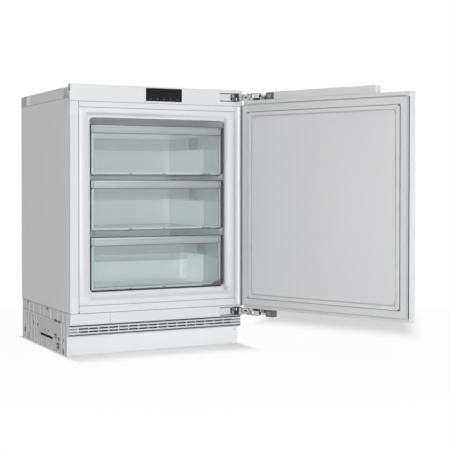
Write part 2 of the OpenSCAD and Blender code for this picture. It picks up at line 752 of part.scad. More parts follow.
module door_mounting_rail() color("lightgray") placed() opened() difference() {
    block([-top_rail_l / 2, door_out + 1, skin_top],
        [top_rail_l / 2, door_out + 1 + top_rail_d, skin_top + top_rail_h]);
    block([-top_rail_l / 2 + 2, door_out + 3, skin_top - eps],
        [top_rail_l / 2 - 2, door_out - 1 + top_rail_d, skin_top + top_rail_h - 2]);
    hole_x = top_rail_l / 2 - rail_hole_in;
    for (x = [-hole_x, hole_x]) translate([x, door_out + 1 + top_rail_d / 2, skin_top + top_rail_h - 3])
        cylinder(r = rail_hole_r, h = 4);
}

// Drawers

// Height of a tub's side walls and rear wall, as its handle strip stands on the front
function tub_h(h) = h - strip_h;

module drawer_tub(z, h, d, grip_y) color([0.72, 0.77, 0.77]) placed() {
    half = drawer_w / 2;
    side = half - 6;
    low = side - 5;
    y1 = drawer_y + d;
    ledge = z + 0.55 * h;
    difference() {
        union() {
            block([-low, drawer_y + drawer_t, z], [low, y1 - 5, ledge]);
            block([-side, drawer_y + drawer_t, ledge - drawer_t], [side, y1, z + tub_h(h)]);
            block([-half, drawer_y, z], [half, drawer_y + drawer_t, z + h - strip_h]);
            block([-half, drawer_y, z], [-side, drawer_y + 8, z + h - strip_h]);
            block([side, drawer_y, z], [half, drawer_y + 8, z + h - strip_h]);
        }
        block([-low + drawer_t, drawer_y + drawer_t + eps, z + drawer_t],
            [low - drawer_t, y1 - 5 - drawer_t, z + h]);
        block([-side + drawer_t, drawer_y + drawer_t + eps, ledge],
            [side - drawer_t, y1 - drawer_t, z + h]);
        both_sides() block([-side - eps, grip_y, z + tub_h(h) - grip_drop - grip_h],
            [-side + drawer_t + eps, grip_y + grip_l, z + tub_h(h) - grip_drop]);
    }
}

module drawer_handle(z, h) color("lightgray") placed() {
    half = drawer_w / 2;
    difference() {
        block([-half, drawer_y - 2, z + h - strip_h], [half, drawer_y - 2 + strip_d, z + h]);
        block([-half + 3, drawer_y, z + h - strip_h - eps],
            [half - 3, drawer_y - 2 + strip_d - 1.6, z + h - 2.5]);
    }
}

module upper_drawer_tub() drawer_tub(upper_z, upper_drawer_h, drawer_d, 148);

module upper_drawer_handle() drawer_handle(upper_z, upper_drawer_h);

module middle_drawer_tub() drawer_tub(middle_z, middle_drawer_h, drawer_d, 148);

module middle_drawer_handle() drawer_handle(middle_z, middle_drawer_h);

module lower_drawer_tub() drawer_tub(lower_z, lower_drawer_h, lower_drawer_d, 86);

module lower_drawer_handle() drawer_handle(lower_z, lower_drawer_h);

// Lower front

lower_slot_z0 = skin_z - hinge_h - slot_out;
lower_slot_z1 = skin_z + slot_in;

module lower_front_strip() color("white") placed() difference() {
    union() {
        block([-half_w + strip_cover_l + seam, 0, strip_z], [half_w, 3, base_h - seam]);
        block([-half_w, 3, base_h - seam - 2.5], [half_w, base_y, base_h - seam]);
        block([-half_w, 3, strip_z], [-half_w + 2.5, base_y, base_h - seam]);
        block([hinge_slot_x - 2, 1, strip_z], [half_w - 0.5, slot_d, base_h - seam]);
    }
    hinge_slot(lower_slot_z0, lower_slot_z1);
}

module strip_covers() color("white") placed() {
    block([-half_w, 0, strip_z], [-half_w + strip_cover_l, 3, base_h - seam]);
    difference() {
        block([hinge_slot_x - 22, -1.2, strip_z], [half_w, 0, base_h - seam]);
        hinge_slot(lower_slot_z0, lower_slot_z1, 0);
        block([hinge_slot_x, -2, lower_slot_z0], [half_w + eps, eps, lower_slot_z1]);
    }
}

module ventilation_grille() color("white") placed() difference() {
    top_row = strip_z - slot_h / 2 - grille_top_edge;
    count = floor((cabinet_w - 60) / slot_pitch);
    union() {
        block([-half_w, grille_y, grille_z], [half_w, grille_y + 3, strip_z]);
        block([-half_w, grille_y + 3, grille_z], [half_w, base_y, grille_z + 2.5]);
        both_sides() block([-half_w, grille_y + 3, grille_z], [-half_w + 3, base_y, strip_z]);
        block([-half_w, grille_y + 3, strip_z - 1.5], [half_w, base_y, strip_z]);
    }
    for (row = [0:grille_rows - 1]) {
        z = top_row - row * row_pitch;
        block([-half_w - eps, grille_y - eps, z - slot_h / 2], [half_w + eps, grille_y + 1.2, z + slot_h / 2]);
        if (row > 0 && row < grille_rows - 1) for (k = [0:count - 1])
            translate([(k - (count - 1) / 2) * slot_pitch - slot_l / 2, grille_y - eps, z - slot_h / 2])
                cube([slot_l, 3 + 2 * eps, slot_h]);
    }
}

screw_x = half_w - 13;
screw_z = grille_z - screw_drop;

module plinth_panel() color("white") placed() difference() {
    block([-half_w, base_y - plinth_t, plinth_z], [half_w, base_y, grille_z]);
    both_sides() translate([screw_x, base_y + eps, screw_z]) rotate([90, 0, 0])
        cylinder(r = 1.7, h = plinth_t + 2 * eps);
    block([half_w - 42, base_y - plinth_t - eps, plinth_z - eps],
        [half_w - 20, base_y + eps, plinth_z + 4]);
}

module plinth_screws() color("gray") placed() both_sides()
    translate([screw_x, base_y - plinth_t, screw_z]) rotate([90, 0, 0]) {
        cylinder(r = 3, h = 1.2);
        translate([0, 0, -plinth_t]) cylinder(r = 1.6, h = plinth_t);
    }

// Base

module tray_ribs() {
    back = tray_back - 500;
    rim = [base_y, base_y + 34, 120, 190, back + 262, back + 300, back + 372, back + 420];
    block([-half_w, base_y, base_h - 2], [-tray_half, tray_back - 2, base_h]);
    block([-half_w, base_y + 20, base_h - 40], [-tray_half, tray_back - 6, base_h - 37]);
    for (y = rim) block([-half_w, y, base_h - 38], [-tray_half, y + 3, base_h - 1]);
    for (y = [base_y + 24, base_y + 48, back + 338, back + 362, back + 396, back + 432, back + 452, back + 476])
        block([-half_w, y, 0], [-tray_half, y + 3, base_h - 38]);
    for (y = [180:18:back + 330]) block([-half_w, y, 0], [-tray_half, y + 2.5, 24]);
    block([-half_w, 168, 26], [-tray_half, back + 314, 30]);
    block([-half_w, 168, 46], [-tray_half, back + 314, 49]);
    block([-half_w, base_y + 4, 52], [-tray_half, 110, 55]);
}

module base_tray() color("silver") placed() difference() {
    tray_shape();
    block([hinge_slot_x - 3, base_y - eps, strip_z - 1], [half_w + eps, slot_d + 0.5, base_h + eps]);
}

module tray_shape() {
    difference() {
        block([-tray_half, base_y, 0], [tray_half, tray_back, base_h]);
        block([-tray_half + tray_t, base_y + tray_t, tray_t],
            [tray_half - tray_t, tray_back - tray_t, base_h + eps]);
        block([-tray_half + 45, base_y - eps, 24], [tray_half - 45, base_y + tray_t + eps, base_h - 6]);
        block([-tray_half + 60, tray_back - tray_t - eps, 24],
            [tray_half - 60, tray_back + eps, base_h + eps]);
        both_sides() {
            block([-tray_half - eps, 176, 34], [-tray_half + tray_t + eps, tray_back - 194, 42]);
            for (p = [[121, 18, 9, 6], [121, 40, 6, 5], [146, 45, 6, 6], [tray_back - 269, base_h - 10, 8, 6],
                [tray_back - 61, base_h - 12, 8, 6]])
                block([-tray_half - eps, p[0], p[1]], [-tray_half + tray_t + eps, p[0] + p[2], p[1] + p[3]]);
            for (y = [front_foot_y, rear_foot_y]) translate([foot_x, y, -eps])
                cylinder(r = foot_r + 1, h = tray_t + 2 * eps);
        }
        block([inlet_x - 15, tray_back - tray_t - eps, inlet_z - 12],
            [inlet_x + 15, tray_back + eps, inlet_z + 12]);
    }
    both_sides() tray_ribs();
}

inlet_x = half_w - 38;
inlet_z = base_h - inlet_drop;

module power_inlet() color([0.12, 0.12, 0.13]) placed() {
    difference() {
        union() {
            block([inlet_x - 14.5, tray_back - 24, inlet_z - 11.5], [inlet_x + 14.5, tray_back, inlet_z + 11.5]);
            block([inlet_x - 20, tray_back, inlet_z - 14], [inlet_x + 20, tray_back + 3, inlet_z + 14]);
        }
        block([inlet_x - 12, tray_back - 16, inlet_z - 9], [inlet_x + 12, tray_back + 4, inlet_z + 9]);
    }
    for (p = [[-7, -2.5], [7, -2.5], [0, 2.5]])
        block([inlet_x + p[0] - 1, tray_back - 17, inlet_z + p[1] - 2],
            [inlet_x + p[0] + 1, tray_back - 1, inlet_z + p[1] + 2]);
}

module machine_cover() color("dimgray") placed() difference() {
    block([-tray_half + 50, tray_back, 14], [tray_half - 90, tray_back + 3, niche_h - 2]);
    for (row = [0:3], k = [0:11])
        block([-tray_half + 72 + k * 34, tray_back - eps, 40 + row * 34],
            [-tray_half + 98 + k * 34, tray_back + 3 + eps, 46 + row * 34]);
}

module foot_brackets() color("silver") placed() both_sides() for (y = [front_foot_y, rear_foot_y])
    difference() {
        union() {
            block([foot_x - 20, y - foot_r - 2, bracket_z], [tray_half - tray_t, y + foot_r + 2, bracket_z + bracket_t]);
            translate([foot_x, y, bracket_z - 10]) cylinder(r = stem_r + 4, h = 11);
            for (s = [-foot_r - 2, foot_r - 1]) block([tray_half - tray_t - 22, y + s, tray_t],
                [tray_half - tray_t, y + s + 3, bracket_z + 1]);
        }
        translate([foot_x, y, bracket_z - 12]) cylinder(r = stem_r + pin_gap, h = 20);
    }

module foot(x, y) color("dimgray") placed() translate([x, y, pad_lift]) {
    cylinder(r = foot_r, h = pad_t);
    translate([0, 0, pad_t]) cylinder(r1 = foot_r - 3, r2 = stem_r + 3, h = 5);
    cylinder(r = stem_r, h = pad_t + stem_l);
}

module left_front_foot() foot(-foot_x, front_foot_y);

module right_front_foot() foot(foot_x, front_foot_y);

module left_rear_foot() foot(-foot_x, rear_foot_y);

module right_rear_foot() foot(foot_x, rear_foot_y);

// Machine space

module compressor() color([0.13, 0.13, 0.14]) placed() {
    r = compressor_r;
    h = compressor_h;
    translate([compressor_x, compressor_y, shell_z]) rotate_extrude() polygon(concat(
        [[0, 0]], [for (a = [-90:10:0]) [r - 25 + 25 * cos(a), 25 + 25 * sin(a)]],
        [for (a = [0:10:90]) [r - 35 + 35 * cos(a), h - 35 + 35 * sin(a)]], [[0, h]]));
    block([compressor_x - r - 11, compressor_y - r + 24, shell_z - 3],
        [compressor_x + r + 11, compressor_y + r - 24, shell_z + 1]);
}

module compressor_mounts() color([0.1, 0.1, 0.1]) placed()
    for (x = [-1, 1], y = [-1, 1])
        translate([compressor_x + x * compressor_r, compressor_y + y * (compressor_r - 34), tray_t])
            cylinder(r = 9, h = mount_h);

condenser_top = base_h - 30;
tube_levels = [36, condenser_top - 24];

module condenser() color([0.16, 0.16, 0.17]) placed() {
    pitch = tube_pitch;
    for (row = [0:condenser_rows - 1], z = tube_levels)
        translate([condenser_x, condenser_y + row * pitch, z]) rotate([0, 90, 0])
            cylinder(r = 4, h = condenser_l);
    for (row = [0:condenser_rows - 2], z = tube_levels) {
        end = row % 2 == 0 ? condenser_l : 0;
        translate([condenser_x + end, condenser_y + (row + 0.5) * pitch, z])
            rotate([0, 0, row % 2 == 0 ? -90 : 90]) rotate_extrude(angle = 180)
                translate([pitch / 2, 0]) circle(4);
    }
    for (k = [0:condenser_fins - 1])
        block([condenser_x + 8 + k * (condenser_l - 17) / (condenser_fins - 1), condenser_y - 14, tray_t],
            [condenser_x + 9 + k * (condenser_l - 17) / (condenser_fins - 1),
            condenser_y + (condenser_rows - 1) * pitch + 14, condenser_top]);
}

rotor_r = fan_size / 2 - 6;

module fan_shroud() color([0.1, 0.1, 0.1]) placed() translate([fan_x, fan_y, fan_z]) {
    difference() {
        block([0, -fan_size / 2, -fan_size / 2], [fan_d, fan_size / 2, fan_size / 2]);
        translate([-eps, 0, 0]) rotate([0, 90, 0]) cylinder(r = rotor_r + 2, h = fan_d + 2 * eps);
    }
    for (turn = [45, 135]) rotate([turn, 0, 0])
        block([fan_d - 3, -rotor_r - 3, -3], [fan_d, rotor_r + 3, 3]);
    translate([fan_d - 6, 0, 0]) rotate([0, 90, 0]) cylinder(r = 17, h = 6);
    translate([fan_d - 16, 0, 0]) rotate([0, 90, 0]) cylinder(r = 3, h = 12);
}

module fan_rotor() color("dimgray") placed() translate([fan_x, fan_y, fan_z]) {
    difference() {
        translate([2, 0, 0]) rotate([0, 90, 0]) cylinder(r = 18, h = fan_d - 9);
        translate([fan_d - 17, 0, 0]) rotate([0, 90, 0]) cylinder(r = 3 + pin_gap, h = 12);
    }
    for (k = [0:fan_blades - 1]) rotate([k * 360 / fan_blades, 0, 0])
        translate([10, 0, 16]) rotate([0, 0, 32]) translate([-9, -0.8, 0])
            cube([18, 1.6, rotor_r - 16]);
}

drier_y = tray_back - tray_t - 14;

module filter_drier() color("peru") placed() translate([-120, drier_y, tray_t + 9])
    rotate([0, 90, 0]) {
        cylinder(r = 9, h = 90);
        translate([0, 0, -8]) cylinder(r1 = 3, r2 = 9, h = 8);
        translate([0, 0, 90]) cylinder(r1 = 9, r2 = 3, h = 8);
    }

// Pipe through the points of a route, with round joints
module pipe(route, r) {
    for (k = [0:len(route) - 2]) {
        a = route[k];
        d = route[k + 1] - a;
        translate(a) rotate([0, acos(d[2] / norm(d)), atan2(d[1], d[0])]) cylinder(r = r, h = norm(d));
    }
    for (k = [1:1:len(route) - 2]) translate(route[k]) sphere(r);
}

module refrigerant_pipes() color("peru") placed() {
    last_row = condenser_y + (condenser_rows - 1) * tube_pitch;
    high = tube_levels[1];
    low = tube_levels[0];
    bend_x = fan_x - 24;
    pipe([[compressor_x - compressor_r, compressor_y, high - 20], [bend_x, compressor_y, high - 20],
        [bend_x, compressor_y, high], [bend_x, last_row + 40, high], [condenser_x - 12, last_row + 40, high],
        [condenser_x - 12, last_row, high], [condenser_x, last_row, high]], 3);
    pipe([[condenser_x, last_row, low], [pipe_x, last_row, low],
        [pipe_x, drier_y, low], [pipe_x, drier_y, tray_t + 9],
        [-128, drier_y, tray_t + 9]], 2.5);
    pipe([[-22, drier_y, tray_t + 9], [10, drier_y, tray_t + 9], [10, drier_y, niche_h - sheet_t]], 2);
}

module melt_water_tray() color("dimgray") placed() translate([compressor_x, compressor_y, shell_z + compressor_h])
    difference() {
        block([-60, -48, 0], [60, 48, melt_h]);
        block([-58, -46, 1.5], [58, 46, melt_h + 1]);
    }

module terminal_box() color("black") placed() difference() {
    block([compressor_x + compressor_r - 16, compressor_y - 30, 60],
        [compressor_x + compressor_r + 24, compressor_y + 30, 120]);
    translate([compressor_x, compressor_y, 59]) cylinder(r = compressor_r, h = 62);
}

left_side_panel();
right_side_panel();
back_panel();
top_panel();
machine_floor();
cabinet_foam();
front_trims();
front_frame();
crossbars();
inner_liner();
evaporator();
glass_shelves();
control_fascia();
display_panel();
control_board();
fascia_clip();
top_rails();
rail_end_blocks();
upper_hinge_bracket();
lower_hinge_bracket();
hinge_slot_covers();
lower_front_strip();
strip_covers();
ventilation_grille();
plinth_panel();
plinth_screws();
base_tray();
machine_cover();
compressor();
compressor_mounts();
condenser();
fan_shroud();
fan_rotor();
filter_drier();
refrigerant_pipes();
melt_water_tray();
terminal_box();
power_inlet();
foot_brackets();
left_front_foot();
right_front_foot();
left_rear_foot();
right_rear_foot();
main_hinge_links();
guide_hinge_links();
door_outer_skin();
door_inner_panel();
door_foam();
door_gasket();
door_mounting_rail();
upper_door_bracket();
lower_door_bracket();
hinge_block_screws();
upper_drawer_tub();
upper_drawer_handle();
middle_drawer_tub();
middle_drawer_handle();
lower_drawer_tub();
lower_drawer_handle();
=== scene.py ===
"""Undercounter freezer with its door open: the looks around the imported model.

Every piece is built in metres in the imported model's own frame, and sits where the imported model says.
"""

import json
import math

import bmesh
import bpy
from bpy.props import FloatProperty, FloatVectorProperty, IntProperty, PointerProperty
from mathutils import Matrix, Vector


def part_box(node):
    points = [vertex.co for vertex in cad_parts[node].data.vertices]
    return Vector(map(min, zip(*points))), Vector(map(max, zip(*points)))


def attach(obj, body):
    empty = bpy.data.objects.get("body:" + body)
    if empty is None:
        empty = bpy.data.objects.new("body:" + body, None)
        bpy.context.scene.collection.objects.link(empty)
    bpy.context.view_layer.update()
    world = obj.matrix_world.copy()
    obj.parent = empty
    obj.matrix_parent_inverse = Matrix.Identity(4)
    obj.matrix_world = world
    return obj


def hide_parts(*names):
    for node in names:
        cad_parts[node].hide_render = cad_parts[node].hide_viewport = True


bl_info = {
    "name": "Undercounter freezer",
    "version": (1, 0, 0),
    "blender": (4, 5, 0),
    "location": "3D View > Sidebar > Freezer",
    "description": "Builds the finishes and soft shapes of an undercounter freezer",
    "category": "Object",
}

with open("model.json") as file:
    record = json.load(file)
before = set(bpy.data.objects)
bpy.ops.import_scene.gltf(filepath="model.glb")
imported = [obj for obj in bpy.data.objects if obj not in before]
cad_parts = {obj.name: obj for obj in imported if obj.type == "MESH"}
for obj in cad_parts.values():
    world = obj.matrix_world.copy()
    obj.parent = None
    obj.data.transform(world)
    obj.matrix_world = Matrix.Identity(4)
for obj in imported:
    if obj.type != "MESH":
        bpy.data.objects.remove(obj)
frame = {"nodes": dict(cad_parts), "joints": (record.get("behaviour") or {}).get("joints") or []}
JOINTS = {joint["name"]: joint for joint in frame["joints"]}
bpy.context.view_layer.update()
LEVELS = ("upper", "middle", "lower")

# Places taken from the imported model
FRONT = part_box("control_fascia")[0].y
HALF_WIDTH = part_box("control_fascia")[1].x
SIDE_LOW, SIDE_HIGH = (corner.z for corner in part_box("left_side_panel"))
RAIL_LOW, RAIL_HIGH = (corner.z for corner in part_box("top_rails"))
BASE_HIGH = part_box("base_tray")[1].z
HINGE_ROOT = JOINTS["door_swing"]["pos_m"][0]

# The camera
PHOTO_SIDE = 450  # pixels
FOCAL_LENGTH = 1051.69  # pixels
AHEAD_PIXEL = (188.93, 199.91)  # the pixel that the camera looks at
SENSOR = 36.0  # millimetres
EYE = (-1.3665, FRONT - 3.0395, 0.5376)
EYE_TURN, EYE_DIP = -25.809, 0.968  # degrees
EYE_REACH = 60

LAMPS = (  # name, place, aim, side of the square, power
    ("front_lamp", (-1.2, -3.6, 0.8), (0, 0, 0.45), 1.1, 38),
    ("low_lamp", (-0.25, -2.5, 0.12), (0.08, FRONT, 0.5), 0.9, 19.5),
    ("top_lamp", (0.2, -0.6, 3.4), (0, 0, 0.4), 2.6, 38),
)
WORLD_LIGHT = 0.34
WHITE = (1.0, 1.0, 1.0)

# The floor, and which part of it keeps its shadow
FLOOR_REACH, FLOOR_THICKNESS = 9, 0.02
FLOOR_TONES, FLOOR_LIGHT_TONE = ((0.90, 0.90, 0.90), (0.92, 0.92, 0.92)), (0.80, 0.80, 0.80)
FLOOR_WHITE = (0.22, 0.73, 0.05)  # how white it shows at the object, and what it gains away and far off
NEAR_SHADOW = (0.03, 0.18)  # how far before the cabinet the shadow starts and ends to fade
SIDE_SQUEEZE = 12  # how many times faster it fades beside and behind the cabinet
UNDER_PLINTH = 0.033
DOOR_ACROSS, DOOR_ALONG = (0.878, 0.478), (0.797, -0.603)  # directions past and along the open door
DOOR_NEAR, DOOR_PAST = (0.95, 0.65), (1.08, 1.26)
DOOR_MIDDLE, DOOR_END = 0.51, (0.24, 0.32)
FLOOR_CENTRE, FLOOR_FAR = (0.3, 0.0, 0.0), (0.9, 1.5)  # where the last of the shadow ends

# The hems of the side panels and rails, and the rails' and end blocks' rear, by the distance behind the front
SIDE_HEMS = ((SIDE_LOW, 0.0016), (SIDE_HIGH, 0.0010))  # height, half width
RAIL_HEM_LOW, RAIL_HEM_HIGH = RAIL_LOW + 0.0012, RAIL_HIGH - 0.0015
RAIL_FOLD, RAIL_SEAM, RAIL_SEAM_HALF, RAIL_END = (0.399, 0.450), 0.4505, 0.0012, 0.4515
BLOCK_END, BLOCK_PLATE, BLOCK_LOW = 0.395, (0.399, 0.445), RAIL_LOW + 0.010
BLOCK_RIBS = 420.0  # radians of the ribs' wave to a metre

# The base: its ribs and the painted shade in the recesses between them, its upper seam, the ledge along it
# and the marks in its finish
RIB_FACE, RIB_DEPTH = HALF_WIDTH - 0.00005, 0.0025
BASE_SEAM = BASE_HIGH - 0.0018
LEDGE_HEIGHT, LEDGE_RISE, LEDGE_HALF = 0.0965, 0.012, 0.0012
BASE_MARKS = (  # how far behind the front, height, half length, half height
    (0.4356, 0.1295, 0.0081, 0.0059), (0.2283, 0.1285, 0.0101, 0.0049),
    (0.3716, 0.0665, 0.0061, 0.0067), (0.3308, 0.0630, 0.0061, 0.0049),
    (0.1400, 0.0985, 0.0162, 0.0037), (0.1100, 0.0985, 0.0162, 0.0037),
    (0.1459, 0.0490, 0.0101, 0.0075), (0.1164, 0.0434, 0.0101, 0.0049),
    (0.1214, 0.0206, 0.0142, 0.0092), (0.0685, 0.0109, 0.0081, 0.0083),
    (0.0660, 0.0450, 0.0061, 0.0049), (0.2500, 0.0560, 0.0051, 0.0025),
    (0.2200, 0.0560, 0.0051, 0.0025), (0.4343, 0.0144, 0.0061, 0.0100),
    (0.4700, 0.0300, 0.0061, 0.0083),
)
CLIP_MARKS = ((0.006, 0.8255, 0.0062, 0.0095), (0.009, 0.8005, 0.0035, 0.010))

# Painted shade and highlights on the front: stops of a place and a brightness
RIGHT_PAINTED_LIGHT = (  # across the mouth's heights, by the distance to the right of the middle
    (-0.2700, 0.955), (-0.2260, 0.955), (-0.2150, 1.0),
    (0.2300, 1.0), (0.2325, 0.55), (0.2360, 0.52), (0.2398, 0.58), (0.2435, 0.74), (0.2472, 0.99),
    (0.2510, 1.05), (0.2580, 1.03), (0.2660, 0.98), (0.2700, 0.93), (0.2735, 0.89), (0.2768, 0.97),
    (0.2800, 1.0),
)
EDGE_PAINTED_LIGHT = (  # along the whole of the right edge
    (0.2740, 1.0), (0.2775, 1.0), (0.2805, 1.20), (0.2842, 1.40), (0.2890, 1.40), (0.2908, 0.55),
    (0.2990, 0.50),
)
# Painted shade and light across the plinth, darker to the left and lighter to the right
PLINTH_PAINTED_LIGHT = ((-0.2985, 0.92), (-0.1500, 0.955), (0.1000, 1.0), (0.2985, 1.06))
TOP_PAINTED_LIGHT = (  # by height, over the mouth
    (0.7340, 1.0), (0.7410, 1.02), (0.7440, 0.89), (0.7475, 0.74), (0.7506, 0.70), (0.7535, 0.98),
    (0.7580, 1.02), (0.7680, 1.03),
)
BOTTOM_PAINTED_LIGHT = (  # by height, under the mouth
    (0.1560, 1.06), (0.1685, 1.04), (0.1717, 0.95), (0.1748, 0.85), (0.1780, 0.82), (0.1812, 0.85),
    (0.1843, 0.90), (0.1900, 0.97), (0.1990, 0.90),
)
# Where the painted shade and highlights beside, over and under the mouth hold, how they fade, and where
# painted wall shade starts
MOUTH_HEIGHTS, TOP_SPAN, BOTTOM_SPAN = (0.180, 0.750), (-0.252, 0.240), (-0.240, 0.262)
SHADE_FADE, CORNER_FADE = 0.012, 0.020
TOP_FADE = ((-0.03, 1.0), (0.17, 0.25))  # how strong the shades over the mouth are, by the place across
SHADED_WALL_START = 0.0062

# Painted shade on folded hinge steel: a share, a stretch along it, and how far from the middle between the
# hinges
HINGES_MIDDLE = 0.46455
HINGE_SLOT, LINK_BACK = 0.2862, 0.002
ALL = (0.0, 1.0)
HOUSING_PAINTED_SHADE = (
    (0.45, (0.2660, HINGE_ROOT), ALL), (1.0, (HINGE_ROOT, HINGE_SLOT), ALL),
    (-0.55, (0.2810, HINGE_SLOT), (0.342, 0.356)), (0.5, (HINGE_SLOT, 1.0), ALL),
)
LINK_PAINTED_SHADE = (
    (0.4, (0.2640, HINGE_ROOT), ALL), (1.0, (HINGE_ROOT, HINGE_SLOT), ALL),
    (-0.45, (HINGE_ROOT, HINGE_SLOT), (0.356, 1.0)),
)
LINK_BACK_PAINTED_SHADE = ((0.75, (HINGE_ROOT, 1.0), ALL), (-0.35, (HINGE_SLOT, 1.0), ALL))
ARM_PAINTED_SHADE = (  # the block, its lips, the hook, the joint, the wedge and the brow
    (0.84, (-1.0, 0.2200), ALL),
    (1.0, (0.2200, 0.2265), (0.0, 0.3515)), (1.0, (0.2200, 0.2265), (0.3570, 1.0)),
    (0.65, (0.2265, 0.2405), (0.0, 0.3515)), (0.65, (0.2265, 0.2405), (0.3585, 1.0)),
    (1.0, (0.2395, 0.2492), (0.3480, 1.0)),
    (1.0, (0.2430, 0.2720), (0.3395, 0.3470)),
    (0.45, (0.2485, 0.2800), (0.3600, 1.0)),
)
RIVETS = ((0.3035, 0.8143), (0.3035, 0.1149))  # to the right, and up
RIVET_RADIUS, RIVET_RIM, RIVET_CORE = 0.0115, 0.0022, 0.0115 * 0.28

# Dark lines that stand for narrow gaps: their colour and roughness
SHADOWS = {
    "gap_shadow": ((0.035, 0.037, 0.04), 0.65),
    "seam_shadow": ((0.16, 0.165, 0.165), 0.65),
    "groove_shadow": ((0.085, 0.088, 0.09), 0.65),
    "shallow_shadow": ((0.28, 0.285, 0.29), 0.65),
    "channel_shadow": ((0.07, 0.072, 0.075), 0.65),
    "border_shadow": ((0.30, 0.305, 0.31), 0.55),
    "stop_shadow": ((0.11, 0.115, 0.115), 0.55),
}

# The drawers' plastic: where its frost and the stronger painted glow of its right part start, and the painted
# shade along the edges of its rim
MILKINESS = {"upper": (0.32, 0.0), "middle": (0.32, 0.0), "lower": (0.48, 0.24)}  # frosted and clear parts
LEDGE_SHARE, LEDGE_FADE = 0.55, 0.002
FRONT_DEPTH, FROST_END, FROST_START = 0.006, 0.101, 0.104
PAINTED_GLOW_RIGHT = 0.2
RIM_EDGE, RIM_FOLD = 0.0014, (0.0125, 0.0055)
GRIP_FADE = 0.06
STRIP_CAP = (0.0085, 0.0065)

# The drawers' shapes: insets, the grip pockets, and each stop's middle and half length
TUB_INSET, PANE_INSET, PANE_UP, PANE_DOWN = 0.006, 0.003, 0.006, 0.0005
TUB_STEP, TUB_FOLD, TUB_LIP = 0.0045, 0.0005, 0.004
FLOOR_INSET, FLOOR_ROUND, FLOOR_UP = 0.005, 0.008, 0.001
RIM_DEPTH, RIM_ROUND = 0.010, 0.0008
GRIP_HALF, GRIP_BACK, LOWER_GRIP_SHIFT = 0.034, 0.185, 0.062
GRIP_TOP, GRIP_BOTTOM = 0.002, 0.041
GRIP_ROWS = ((0.0065, -0.001), (0.0075, 0.0), (0.010, 0.002), (0.012, 0.005))  # inward, narrower by
STOPS = ((-0.094, 0.005), (0.022, 0.005), (0.172, 0.016))

# The dark sheets that stand for the shade in the gaps beside the drawers: their depth behind the front, and
# how far outside the tub they start
GAP_DEPTH, GAP_START = (0.0132, 0.0138), 0.0018

# How far the display's marks stand over its lower edge
MARKS_UP = 0.0075

# The grille's rows, down from its upper edge, the half width of the dark screen that stands for the shade
# behind the open rows, and where the open rows end
ROW_DROP, ROW_PITCH, ROW_TALL = 0.0046, 0.0095, 0.0042
SHADE_SCREEN_HALF, LEFT_END, RIGHT_END = 0.272, -0.2705, 0.2655


def size(label, text, default, **more):
    """A length that a user may change."""
    return FloatProperty(name=label, description=text, default=default, unit="LENGTH", **more)


def tint(label, text, default):
    """A colour that a user may change."""
    return FloatVectorProperty(
        name=label, description=text, default=default, subtype="COLOR", min=0, max=1
    )


class FreezerColours(bpy.types.PropertyGroup):
    """The colours of the freezer's finishes."""

    white: tint("White", "Moulded white plastic of the front", (0.715, 0.73, 0.74))
    liner: tint("Liner", "White of the moulded liner", (0.90, 0.92, 0.92))
    # The door panel's grey, darker than the front's white: partly its own colour, partly painted shade
    door_inner: tint("Door inner panel", "White of the door's inner panel", (0.615, 0.615, 0.625))
    door_outer: tint("Door skin", "Coating of the door's steel skin", (0.61, 0.612, 0.615))
    steel: tint("Side steel", "Grey coating of the side panels", (0.75, 0.75, 0.75))
    base: tint("Base", "Grey plastic of the base tray", (0.775, 0.775, 0.78))
    silver: tint("Silver", "Silver of the drawer strips", (0.335, 0.355, 0.36))
    zinc: tint("Zinc", "Zinc plating of the hinges", (0.66, 0.67, 0.68))
    aluminium: tint("Aluminium", "Sheets and tubes of the evaporator", (0.80, 0.81, 0.82))
    clear: tint("Drawer plastic", "Tint of the clear drawers", (0.71, 0.80, 0.785))
    glass: tint("Shelf glass", "Tint of the glass shelves", (0.55, 0.68, 0.65))
    seal: tint("Gasket", "Soft grey of the door seal", (0.62, 0.63, 0.63))
    dark: tint("Dark plastic", "Dark moulded plastic", (0.03, 0.03, 0.033))
    black: tint("Black paint", "Painted iron and rubber mounts", (0.02, 0.02, 0.02))
    copper: tint("Copper", "Pipes and drier", (0.72, 0.36, 0.22))
    foam: tint("Insulation", "Insulation foam", (0.80, 0.70, 0.42))


class FreezerSizes(bpy.types.PropertyGroup):
    """The sizes of the freezer's soft shapes."""

    edge: size("Soft edge", "Radius that a moulded edge shows", 0.0012)
    bevel: size("Mouth bevel", "Width of the soft bevel round the mouth", 0.020)
    bevel_depth: size("Bevel depth", "Depth of the soft bevel round the mouth", 0.005)
    mouth_radius: size("Mouth corner", "Corner radius of the mouth", 0.012)
    wall: size("Drawer wall", "Wall thickness of the drawers", 0.002)
    drawer_corner: size("Drawer corner", "Corner radius of a drawer's tub", 0.012)
    gasket: size("Gasket width", "Width of the door gasket", 0.011)
    seam: size("Seam width", "Width of the seams between the front pieces", 0.0011)
    mark: size("Display mark", "Height of a mark on the display", 0.0022)
    marks: IntProperty(
        name="Display marks", description="Number of marks on the display", default=5, min=1, max=9
    )


